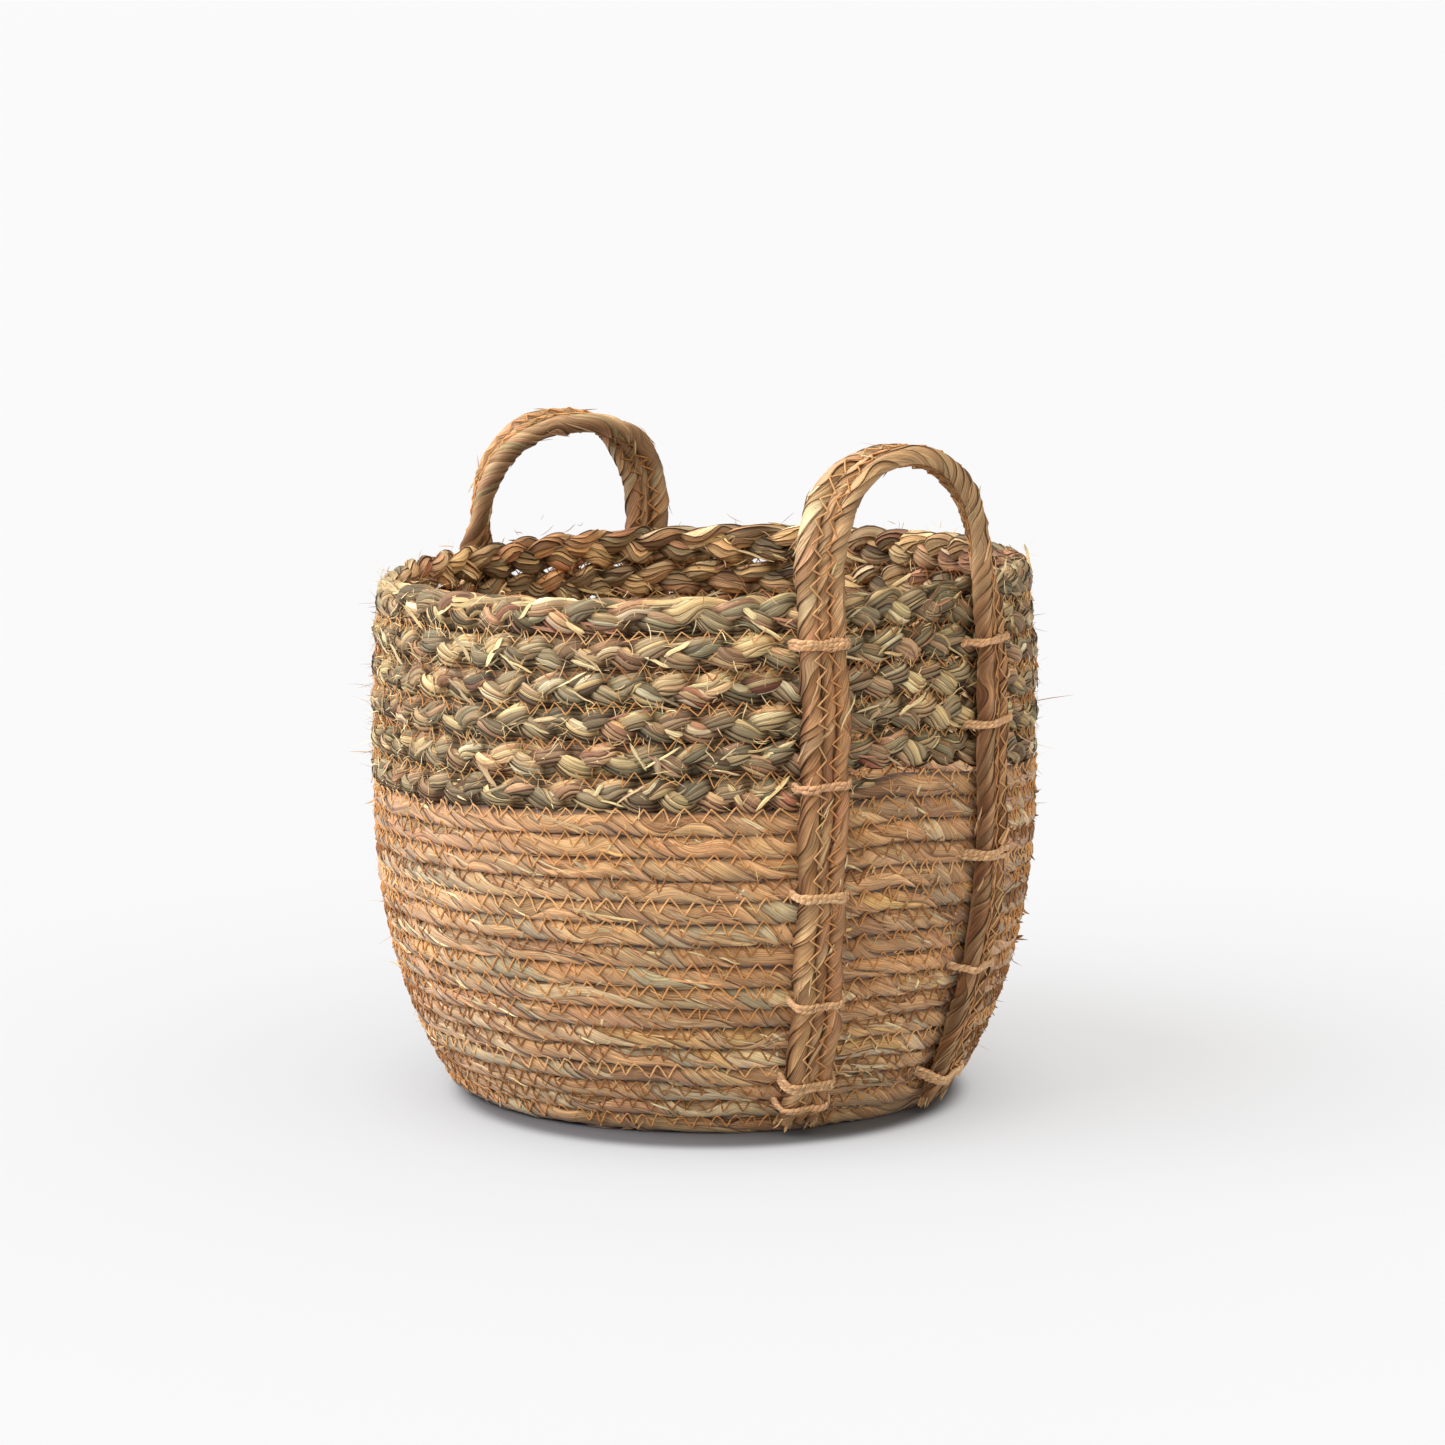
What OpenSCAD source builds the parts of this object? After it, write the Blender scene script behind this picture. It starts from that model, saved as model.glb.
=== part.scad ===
// Round storage basket: a coiled husk rope base and lower wall, six turns of
// seagrass plait above it, and two rope strap handles tied to the outside.
// Z is up and the floor is z = 0. The front handle is centred on +X.

/* [Wall] */
// Outer diameter of the wall where it is widest
belly_d = 290; // [270:5:310]
// Outer diameter that the wall would have at the floor
base_d = 222; // [210:2:240]
// Outer diameter at the rim
rim_d = 281; // [275:1:290]
// Height of the widest place
belly_z = 160; // [150:5:175]
// How suddenly the wall turns in towards the base
wall_curve = 2.75; // [2.4:0.05:3]

/* [Husk rope] */
// Turns of husk rope in the wall, with the one on the floor
husk_turns = 16; // [14:1:17]
// Distance from one turn to the next
husk_pitch = 9.3; // [9:0.1:9.6]
// Diameter of the rope before its neighbours press it
husk_d = 10.8; // [10.6:0.1:11.2]
// Turns of the rope in the base, inside the wall
base_turns = 11; // [9:1:11]

/* [Plait] */
// Turns of seagrass plait
plait_turns = 6; // [4:1:7]
// Height of one turn
plait_pitch = 14.3; // [13:0.1:15]

/* [Seam thread] */
// Diameter of the sewing thread
thread_d = 0.9; // [0.6:0.1:1]

/* [Handles] */
// Diameter of each of the three cords in a strap
cord_d = 7.8; // [7:0.1:7.9]
// Distance between the cords of a strap
cord_pitch = 8; // [8:0.1:8.4]
// Angle from the middle of a handle to each of its legs
leg_angle = 17.2; // [16:0.2:22]
// How far the rear handle is from exactly opposite, turned clockwise from above
rear_offset = 8; // [0:1:12]
// Height of the front arch above its hinge line, to the middle cord
front_arch_h = 52; // [44:1:70]
// Height of the rear arch above its hinge line, to the middle cord
rear_arch_h = 45; // [44:1:70]
// Lean of the arches towards the inside
arch_lean = 3; // [0:1:8]
// Squareness of the arches, where 2 is an ellipse
arch_square = 2.3; // [2:0.1:3]
// Roll of the strap at the top of each arch
arch_roll = 84; // [60:1:90]
// Thickness of the jute twine in the ties
tie_t = 1.1; // [0.8:0.1:1.1]
// Width of one tie, two turns of twine
tie_w = 2.4; // [1.6:0.2:2.4]

/* [Hidden] */
husk_r = husk_d / 2;
plait_r = husk_r;
thread_r = thread_d / 2;
cord_r = cord_d / 2;
// Clearance between surfaces that lie against each other
gap = 0.3;
thread_gap = 0.03;

// Height of the middle of each husk turn, equal steps along the wall's curve
husk_z = [
    for (i = 0, z = husk_pitch / 2; i < husk_turns; z = z + husk_pitch * cos(low_lean(z)), i = i + 1) z
];
husk_top = husk_z[husk_turns - 1] + husk_pitch / 2;
// Horizontal planes on which one husk turn rests on the next
husk_cut = [
    0,
    for (i = [1 : husk_turns - 1]) (husk_z[i - 1] + husk_z[i]) / 2,
    husk_top
];
plait_z = [for (i = [0 : plait_turns - 1]) husk_top + (i + 0.5) * plait_pitch];
rim_z = husk_top + plait_turns * plait_pitch;
row_z = concat(husk_z, plait_z);

// Arc radius of a plait's bulging faces, and how far its centre is set back
plait_arc = 9.5;
plait_set = plait_arc - plait_r;

// Where the hinge line of a handle's arch lies
leg_stand = husk_r + gap + cord_r;
leg_low_z = 11.5;
leg_top_z = rim_z - 3;
hinge_z = rim_z + 4;
hinge_r = wall_c(hinge_z) + leg_stand - 0.8;
hinge_x = hinge_r * cos(leg_angle);
hinge_y = hinge_r * sin(leg_angle);
arch_up = [-sin(arch_lean), 0, cos(arch_lean)];
arch_out = [cos(arch_lean), 0, sin(arch_lean)];

// Number of stations along a leg and along an arch, and sides of a cord
leg_steps = 20;
arch_steps = 20;
cord_sides = 10;
thread_sides = 6;

// Seams at which the ties of each leg lie, counted from the floor
left_tie_seams = [2, 3, 7, 12, 17, 21];
right_tie_seams = [3, 8, 13, 18, 20];

husk_colour = [0.76, 0.56, 0.36];
plait_colour = [0.55, 0.53, 0.42];
thread_colour = [0.68, 0.42, 0.16];
cord_colour = [0.68, 0.50, 0.34];
twine_colour = [0.74, 0.56, 0.40];

// ---- Shape of the wall ----

// Radius of the middle of the wall at height z
function wall_c(z) =
    z < belly_z
    ? belly_d / 2 - husk_r - (belly_d - base_d) / 2 * pow(1 - z / belly_z, wall_curve)
    : belly_d / 2 - husk_r - (belly_d - rim_d) / 2 * pow((z - belly_z) / (rim_z - belly_z), 2);

// Angle by which the wall leans out below its widest place, and everywhere
function low_lean(z) =
    z < belly_z
    ? atan((belly_d - base_d) / 2 * wall_curve / belly_z * pow(1 - z / belly_z, wall_curve - 1))
    : 0;
function lean(z) =
    z < belly_z
    ? low_lean(z)
    : -atan((belly_d - rim_d) * (z - belly_z) / pow(rim_z - belly_z, 2));

// ---- Coiled rows ----

// One turn of husk rope, a ring pressed flat where it meets its neighbours
module husk_turn(i) {
    radius = wall_c(husk_z[i]);
    inner = i == 0 ? husk_pitch / 2 : husk_d;
    color(husk_colour)
        rotate_extrude($fn = 160)
            intersection() {
                translate([radius, husk_z[i]]) circle(r = husk_r, $fn = 64);
                translate([radius - inner, husk_cut[i]])
                    square([inner + husk_d, husk_cut[i + 1] - husk_cut[i]]);
            }
}

// One turn of plait, thicker in the middle of its height than at its edges
module plait_turn(i) {
    radius = wall_c(plait_z[i]);
    color(plait_colour)
        rotate_extrude($fn = 160)
            intersection() {
                translate([radius - plait_set, plait_z[i]]) circle(r = plait_arc, $fn = 128);
                translate([radius + plait_set, plait_z[i]]) circle(r = plait_arc, $fn = 128);
                translate([radius - plait_arc, plait_z[i] - plait_pitch / 2])
                    square([2 * plait_arc, plait_pitch]);
            }
}

// The flat coil under the basket, fused from its turns and level below
module base_coil() {
    edge = wall_c(husk_z[0]) - husk_pitch / 2;
    core = edge - (base_turns - 0.5) * husk_pitch;
    color(husk_colour)
        rotate_extrude($fn = 160)
            intersection() {
                union() {
                    for (i = [0 : base_turns - 1])
                        translate([edge - (i + 0.5) * husk_pitch, husk_pitch / 2])
                            circle(r = husk_r, $fn = 64);
                    square([core, husk_pitch]);
                }
                square([edge, husk_d]);
            }
}

// Thread in the outer groove between two rows, which touches neither
module seam_ring(low, high, low_r, high_r) {
    chord = high - low;
    span = norm(chord);
    middle = low + chord * (span * span + low_r * low_r - high_r * high_r) / (2 * span * span);
    out = sqrt(low_r * low_r - pow(norm(middle - low), 2));
    place = middle + out * [chord[1], -chord[0]] / span;
    rotate_extrude($fn = 160)
        translate(place) circle(r = thread_r, $fn = 24);
}

module husk_seam_thread() {
    reach = husk_r + thread_r + thread_gap;
    color(thread_colour)
        for (i = [1 : husk_turns - 1])
            seam_ring([wall_c(husk_z[i - 1]), husk_z[i - 1]], [wall_c(husk_z[i]), husk_z[i]], reach, reach);
}

module plait_seam_thread() {
    husk_reach = husk_r + thread_r + thread_gap;
    reach = plait_arc + thread_r + thread_gap;
    last = husk_turns - 1;
    color(thread_colour) {
        seam_ring(
            [wall_c(husk_z[last]), husk_z[last]],
            [wall_c(plait_z[0]) - plait_set, plait_z[0]],
            husk_reach, reach
        );
        for (i = [1 : plait_turns - 1])
            seam_ring(
                [wall_c(plait_z[i - 1]) - plait_set, plait_z[i - 1]],
                [wall_c(plait_z[i]) - plait_set, plait_z[i]],
                reach, reach
            );
    }
}

// Thread of the base, in the grooves of its upper face
module base_seam_thread() {
    reach = husk_r + thread_r + thread_gap;
    rise = sqrt(reach * reach - husk_pitch * husk_pitch / 4);
    edge = wall_c(husk_z[0]) - husk_pitch / 2;
    color(thread_colour)
        for (i = [0 : base_turns - 1])
            rotate_extrude($fn = 160)
                translate([edge - i * husk_pitch, husk_pitch / 2 + rise])
                    circle(r = thread_r, $fn = 24);
}

// ---- Cords of a handle, in the frame of the front handle ----

// Point beside the wall on leg side (-1 left, 1 right), moved along the wall
// towards the other leg and outwards from the strap's own middle
function leg_point(side, z, along, proud) =
    let (a = lean(z), stand = leg_stand + proud, turn = side * leg_angle)
    let (r = wall_c(z) + stand * cos(a))
    [r * cos(turn), r * sin(turn), z - stand * sin(a)]
    + along * side * [sin(turn), -cos(turn), 0];

// Middle of the strap along an arch of height h, where u runs from 0 at the left to 1
function arch_mid(u, h) =
    let (c = cos(180 * u), s = sin(180 * u), e = 2 / arch_square)
    [hinge_x, -hinge_y * sign(c) * pow(abs(c), e), hinge_z] + h * pow(s, e) * arch_up;

function unit(v) = v / norm(v);

// Roll of the strap about its own line, more towards the top of the arch
function roll(u) =
    let (t = min(1, min(u, 1 - u) / 0.4))
    leg_angle + (arch_roll - leg_angle) * t * t * (3 - 2 * t);

function arch_point(u, h, along, proud) =
    let (du = 0.004, a = max(0, u - du), b = min(1, u + du))
    let (forward = unit(arch_mid(b, h) - arch_mid(a, h)), inside = cross(forward, arch_out))
    let (across = cos(roll(u)) * inside + sin(roll(u)) * arch_out)
    let (face = cos(roll(u)) * arch_out - sin(roll(u)) * inside)
    arch_mid(u, h) + along * across + proud * face;

// A tube through the points of a path, whose sections face along it.
// ref is a direction that the path never takes, and round gives domed ends.
module tube(path, radius, sides, ref, round = false) {
    last = len(path) - 1;
    ahead = [for (i = [0 : last]) unit(path[min(last, i + 1)] - path[max(0, i - 1)])];
    dome = [75, 50, 25];
    stations = concat(
        round ? [for (a = dome) [path[0] - ahead[0] * radius * sin(a), ahead[0], radius * cos(a)]] : [],
        [for (i = [0 : last]) [path[i], ahead[i], radius]],
        round ? [for (i = [2 : -1 : 0])
            [path[last] + ahead[last] * radius * sin(dome[i]), ahead[last], radius * cos(dome[i])]] : []
    );
    n = len(stations);
    points = [
        for (s = stations)
            let (x = unit(cross(s[1], ref)), y = cross(s[1], x))
                for (k = [0 : sides - 1])
                    s[0] + s[2] * (cos(360 * k / sides) * x + sin(360 * k / sides) * y)
    ];
    skin = [
        for (i = [0 : n - 2], k = [0 : sides - 1])
            let (a = i * sides + k, b = i * sides + (k + 1) % sides)
                each [[a, a + sides, b + sides], [a, b + sides, b]]
    ];
    ends = [
        [for (k = [0 : sides - 1]) k],
        [for (k = [sides - 1 : -1 : 0]) (n - 1) * sides + k]
    ];
    polyhedron(points, concat(skin, ends), convexity = 6);
}

module leg_tubes(along, proud, radius, sides) {
    rise = (leg_top_z - leg_low_z) / leg_steps;
    for (side = [-1, 1])
        tube(
            [for (i = [0 : leg_steps]) leg_point(side, leg_low_z + rise * i, along, proud)],
            radius, sides, [-sin(side * leg_angle), cos(side * leg_angle), 0]
        );
}

module arch_tube(h, along, proud, radius, sides, round) {
    tube(
        [for (i = [0 : arch_steps]) arch_point(i / arch_steps, h, along, proud)],
        radius, sides, arch_out, round
    );
}

// slot is -1 for the outer cord, 0 for the middle one and 1 for the inner one
module cord_legs(slot) {
    color(cord_colour) leg_tubes(slot * cord_pitch, 0, cord_r, cord_sides);
}

module cord_arch(slot, h) {
    color(cord_colour) arch_tube(h, slot * cord_pitch, 0, cord_r, cord_sides, true);
}

// The lacing thread lies in the two grooves between the three cords
lace_proud = sqrt(pow(cord_r + thread_r + thread_gap, 2) - cord_pitch * cord_pitch / 4) + 0.1;

module leg_lacing() {
    color(thread_colour)
        for (slot = [-0.5, 0.5])
            leg_tubes(slot * cord_pitch, lace_proud, thread_r, thread_sides);
}

module arch_lacing(h) {
    color(thread_colour)
        for (slot = [-0.5, 0.5])
            arch_tube(h, slot * cord_pitch, lace_proud, thread_r, thread_sides, false);
}

// ---- Ties ----

// Outline of the strap's section, with a margin all round
module strap_outline(margin) {
    half = cord_r + margin;
    for (slot = [-1, 1])
        translate([slot * cord_pitch, 0]) circle(r = half, $fn = 40);
    square([2 * cord_pitch, 2 * half], center = true);
}

// Two turns of twine round the strap, in the groove between two rows
module tie(side, seam) {
    low = row_z[seam - 1];
    high = row_z[seam];
    z = (low + high) / 2;
    translate(leg_point(side, z, 0, 0))
        rotate([0, 0, side * leg_angle])
            rotate([0, lean(z), 0])
                rotate([0, 0, 90])
                    translate([0, 0, -tie_w / 2])
                        linear_extrude(tie_w)
                            difference() {
                                strap_outline(0.1 + tie_t);
                                strap_outline(0.1);
                            }
}

module ties(side, seams) {
    color(twine_colour)
        for (seam = seams)
            tie(side, seam);
}

// Turns the front handle's parts to the rear
module rear() {
    rotate([0, 0, 180 - rear_offset]) children();
}

base_coil();
husk_turn(0);  // husk_turn_01
husk_turn(1);  // husk_turn_02
husk_turn(2);  // husk_turn_03
husk_turn(3);  // husk_turn_04
husk_turn(4);  // husk_turn_05
husk_turn(5);  // husk_turn_06
husk_turn(6);  // husk_turn_07
husk_turn(7);  // husk_turn_08
husk_turn(8);  // husk_turn_09
husk_turn(9);  // husk_turn_10
husk_turn(10);  // husk_turn_11
husk_turn(11);  // husk_turn_12
husk_turn(12);  // husk_turn_13
husk_turn(13);  // husk_turn_14
husk_turn(14);  // husk_turn_15
husk_turn(15);  // husk_turn_16
plait_turn(0);  // plait_turn_1
plait_turn(1);  // plait_turn_2
plait_turn(2);  // plait_turn_3
plait_turn(3);  // plait_turn_4
plait_turn(4);  // plait_turn_5
plait_turn(5);  // plait_turn_6
base_seam_thread();
husk_seam_thread();
plait_seam_thread();
cord_legs(-1);  // front_outer_cord_legs
cord_legs(0);  // front_middle_cord_legs
cord_legs(1);  // front_inner_cord_legs
cord_arch(-1, front_arch_h);  // front_outer_cord_arch
cord_arch(0, front_arch_h);  // front_middle_cord_arch
cord_arch(1, front_arch_h);  // front_inner_cord_arch
leg_lacing();  // front_leg_lacing
arch_lacing(front_arch_h);  // front_arch_lacing
ties(-1, left_tie_seams);  // front_left_ties
ties(1, right_tie_seams);  // front_right_ties
rear() cord_legs(-1);  // rear_outer_cord_legs
rear() cord_legs(0);  // rear_middle_cord_legs
rear() cord_legs(1);  // rear_inner_cord_legs
rear() cord_arch(-1, rear_arch_h);  // rear_outer_cord_arch
rear() cord_arch(0, rear_arch_h);  // rear_middle_cord_arch
rear() cord_arch(1, rear_arch_h);  // rear_inner_cord_arch
rear() leg_lacing();  // rear_leg_lacing
rear() arch_lacing(rear_arch_h);  // rear_arch_lacing
rear() ties(-1, left_tie_seams);  // rear_left_ties
rear() ties(1, right_tie_seams);  // rear_right_ties
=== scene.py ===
"""Looks of the seagrass storage basket: rope, plait, thread, strap cords and twine."""

import math

import bpy
import numpy as np
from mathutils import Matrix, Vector


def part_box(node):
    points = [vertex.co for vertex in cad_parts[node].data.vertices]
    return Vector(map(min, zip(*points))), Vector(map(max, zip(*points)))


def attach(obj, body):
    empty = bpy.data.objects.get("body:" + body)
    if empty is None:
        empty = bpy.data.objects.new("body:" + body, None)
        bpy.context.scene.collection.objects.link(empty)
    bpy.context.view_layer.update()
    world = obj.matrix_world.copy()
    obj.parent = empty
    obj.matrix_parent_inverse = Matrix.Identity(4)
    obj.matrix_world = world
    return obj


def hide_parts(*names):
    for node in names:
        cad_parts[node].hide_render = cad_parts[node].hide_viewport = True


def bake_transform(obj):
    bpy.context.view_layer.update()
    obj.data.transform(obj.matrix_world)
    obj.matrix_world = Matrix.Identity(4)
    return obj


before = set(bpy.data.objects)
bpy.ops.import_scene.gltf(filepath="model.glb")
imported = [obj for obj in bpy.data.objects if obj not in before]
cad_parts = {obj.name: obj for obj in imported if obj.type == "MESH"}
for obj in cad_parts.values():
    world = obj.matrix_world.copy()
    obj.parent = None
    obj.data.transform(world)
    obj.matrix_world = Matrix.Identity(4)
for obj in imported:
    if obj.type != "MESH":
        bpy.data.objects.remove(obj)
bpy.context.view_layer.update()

MM = 0.001
FULL = 2 * math.pi
TOP = np.array([0.0, 0.0, 1.0])
HUSK_ROWS = 16
PLAIT_ROWS = 6
BASE_TURNS = 11


# ---- Sizes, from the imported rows, in millimetres ----


def box_mm(node):
    low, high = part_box(node)
    return np.array(low) / MM, np.array(high) / MM


husk_boxes = [box_mm(f"husk_turn_{i + 1:02d}") for i in range(HUSK_ROWS)]
plait_boxes = [box_mm(f"plait_turn_{i + 1}") for i in range(PLAIT_ROWS)]
# Half the thickness of a row
ROW_HALF = 5.4
# Where the wall is widest, how far the base and the rim are drawn in from there, and its curve
BELLY_Z = 160.0
RIM_Z = float(plait_boxes[-1][1][2])
HUSK_TOP = float(plait_boxes[0][0][2])
BELLY_R = max(float(b[1][0]) for b in husk_boxes + plait_boxes) - ROW_HALF
BASE_IN = 34.0
RIM_IN = 4.5
WALL_CURVE = 2.75
HUSK_PITCH = 9.3
husk_z = np.array([(b[0][2] + b[1][2]) / 2 for b in husk_boxes])
husk_z[0] = HUSK_PITCH / 2
husk_z[-1] = HUSK_TOP - HUSK_PITCH / 2
seam_z = [0.0] + [float(b[1][2]) for b in husk_boxes + plait_boxes]


def wall_radius(z):
    """Radius of the middle of the wall at height z."""
    z = np.asarray(z, float)
    low = BELLY_R - BASE_IN * np.clip(1 - z / BELLY_Z, 0, None) ** WALL_CURVE
    high = BELLY_R - RIM_IN * ((z - BELLY_Z) / (RIM_Z - BELLY_Z)) ** 2
    return np.where(z < BELLY_Z, low, high)


def wall_lean(z):
    """Slope of the wall from upright, in radians, positive where it opens upwards."""
    z = np.asarray(z, float)
    return np.arctan(wall_radius(z + 0.5) - wall_radius(z - 0.5))


# ---- Random variation ----


def seeded(name):
    """Random numbers that are the same in every run."""
    return np.random.default_rng(list(name.encode()))


def wander(rng, s, wavelength, shape=(), waves=5):
    """Smooth random variation along s, mostly between -1 and 1."""
    k = FULL / (wavelength * rng.uniform(0.5, 1.9, shape + (waves, 1)))
    phase = rng.uniform(0, FULL, shape + (waves, 1))
    return np.sin(k * s + phase).mean(-2) * 1.9


def smooth(x):
    x = np.clip(x, 0, 1)
    return x * x * (3 - 2 * x)


def unit(v):
    return v / np.maximum(np.linalg.norm(v, axis=-1, keepdims=True), 1e-9)


def rotated(a, b, angle):
    """Two directions at right angles, turned by an angle from the first towards the second."""
    c, s = np.cos(angle)[:, None], np.sin(angle)[:, None]
    return c * a + s * b, c * b - s * a


def run_along(path):
    """Length along a path up to each of its points."""
    return np.concatenate([[0], np.cumsum(np.linalg.norm(np.diff(path, axis=0), axis=1))])


def points_at(at, s, values):
    """Points or directions at some lengths of a path."""
    return np.stack([np.interp(at, s, values[:, k]) for k in range(3)], -1)


def srgb(*rgb):
    """A colour given in 0 to 255 as linear light."""
    c = np.array(rgb, float) / 255
    return np.where(c <= 0.04045, c / 12.92, ((c + 0.055) / 1.055) ** 2.4)


def pick(rng, palette, count):
    """Colours drawn from a palette of (weight, red, green, blue), each a little lighter or darker."""
    weights = np.array([p[0] for p in palette], float)
    colours = np.array([srgb(*p[1:]) for p in palette])
    chosen = colours[rng.choice(len(palette), count, p=weights / weights.sum())]
    return chosen * rng.uniform(0.84, 1.14, (count, 1)) * rng.uniform(0.97, 1.03, (count, 3))


# ---- Meshes ----


class Weave:
    """Strips and tubes that become one mesh, with a colour and a grain direction at each vertex."""

    def __init__(self):
        self.co, self.tone, self.grain, self.quads, self.uv = [], [], [], [], []
        self.count = 0
        self.rows = 0

    def grid(self, co, tone, grain, closed=False, flip=False):
        """co is (strips, stations, across, 3). A closed grid joins its last vertex across to its first."""
        strips, n, m, _ = co.shape
        self.co.append(co.reshape(-1, 3))
        self.tone.append(np.broadcast_to(tone, co.shape).reshape(-1, 3))
        self.grain.append(np.broadcast_to(grain, co.shape).reshape(-1, 3))
        ids = self.count + np.arange(strips * n * m).reshape(strips, n, m)
        nxt = np.roll(ids, -1, axis=2) if closed else ids[:, :, 1:]
        here = ids if closed else ids[:, :, :-1]
        w = here.shape[2]
        quad = np.stack([here[:, :-1], here[:, 1:], nxt[:, 1:], nxt[:, :-1]], -1)
        row = self.rows + np.arange(strips * (n - 1)).reshape(strips, n - 1, 1) + np.zeros((1, 1, w), int)
        lane = np.arange(w)[None, None, :] + np.zeros((strips, n - 1, 1))
        corners = (0, 0), (1, 0), (1, 1), (0, 1)
        uv = np.stack([np.stack([row + a, (lane + b) / w], -1) for a, b in corners], -2)
        if flip:
            quad, uv = quad[..., ::-1], uv[..., ::-1, :]
        self.quads.append(quad.reshape(-1, 4))
        self.uv.append(uv.reshape(-1, 4, 2))
        self.rows += strips * (n - 1)
        self.count += strips * n * m

    def mesh(self, name, material):
        co = np.concatenate(self.co)
        co[:, 2] = np.maximum(co[:, 2], 0.0)
        quads = np.concatenate(self.quads)
        me = bpy.data.meshes.new(name)
        me.vertices.add(len(co))
        me.vertices.foreach_set("co", (co * MM).astype(np.float32).ravel())
        me.loops.add(quads.size)
        me.loops.foreach_set("vertex_index", quads.astype(np.int32).ravel())
        me.polygons.add(len(quads))
        me.polygons.foreach_set("loop_start", np.arange(0, quads.size, 4, dtype=np.int32))
        me.polygons.foreach_set("use_smooth", np.ones(len(quads), bool))
        me.update(calc_edges=True)
        tone = np.concatenate(self.tone)
        tone = np.concatenate([tone, np.ones((len(tone), 1))], 1).astype(np.float32)
        me.attributes.new("tone", "FLOAT_COLOR", "POINT").data.foreach_set("color", tone.ravel())
        grain = np.concatenate(self.grain).astype(np.float32)
        me.attributes.new("grain", "FLOAT_VECTOR", "POINT").data.foreach_set("vector", grain.ravel())
        uv = np.concatenate(self.uv)
        # The rows of quads fill lines of the texture, with a margin between the lines
        per_line = max(8, int(math.sqrt(self.rows * 6)))
        lines = math.ceil(self.rows / per_line)
        start = np.minimum(uv[:, 0:1, 0], uv[:, 2:3, 0])
        line = start // per_line
        u = (uv[..., 0] - line * per_line) / per_line
        v = (line + 0.08 + 0.84 * uv[..., 1]) / lines
        layer = me.uv_layers.new(name="OFBake")
        layer.data.foreach_set("uv", np.stack([u, v], -1).astype(np.float32).ravel())
        me.materials.append(material)
        ob = bpy.data.objects.new(name, me)
        bpy.context.scene.collection.objects.link(ob)
        return ob


def fixed_piece(weave, name, material, nodes=None):
    """Makes the woven mesh a piece that is fixed to the basket and stands for some nodes."""
    piece = weave.mesh(name, material)
    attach(piece, "basket")
    if nodes is not None:
        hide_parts(*nodes)


def add_tube(weave, path, radius, ref, sides, tone):
    """Adds a round tube along a path; ref is a direction across it."""
    t = unit(np.gradient(path, axis=0))
    x = unit(np.cross(t, ref))
    y = np.cross(x, t)
    angle = FULL * np.arange(sides) / sides
    ring = np.cos(angle)[:, None] * x[:, None] + np.sin(angle)[:, None] * y[:, None]
    co = path[:, None] + radius * ring
    grain = np.zeros(co.shape)
    grain[..., 0] = run_along(path)[:, None]
    grain[..., 1] = angle * 1.5
    weave.grid(co[None], tone, grain[None], closed=True)


# ---- Rope wrapped in leaves ----

# Points across a husk leaf and a seagrass blade, and the shade at each: painted shade at the edges and a
# painted highlight near one edge
LEAF_V = np.array([0.0, 0.06, 0.36, 0.68, 0.93, 1.0])
LEAF_SHADE = np.array([0.2, 0.84, 0.99, 1.07, 1.24, 0.6])
BLADE_V = np.array([0.0, 0.1, 0.5, 0.9, 1.0])
BLADE_SHADE = np.array([0.08, 0.76, 1.02, 1.26, 0.3])
# Shade between leaves is warm: red darkens less than blue
SHADOW = np.array([0.82, 1.0, 1.14])


def leaf_lanes(rng, s, leaves, lengths, palette, tip, narrow, uneven):
    """Relative width and colour of each leaf round a rope along s, and how far it is from its ends."""
    widths, colours, ends = [], [], []
    span = s[-1] - s[0]
    for _ in range(leaves):
        count = int(span / lengths[0]) + 3
        joints = s[0] - rng.uniform(0, lengths[1]) + np.cumsum(rng.uniform(*lengths, count))
        index = np.searchsorted(joints, s)
        near = np.minimum(
            np.abs(s - joints[np.clip(index, 0, count - 1)]),
            np.abs(s - joints[np.clip(index - 1, 0, count - 1)]),
        )
        point = smooth(near / tip)
        widths.append((1 + uneven * wander(rng, s, lengths[0])) * (narrow + (1 - narrow) * point))
        colours.append(pick(rng, palette, count + 1)[index])
        ends.append(point)
    widths = np.maximum(np.array(widths), 0.02)
    return widths / widths.sum(0), np.array(colours), np.array(ends)


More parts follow.
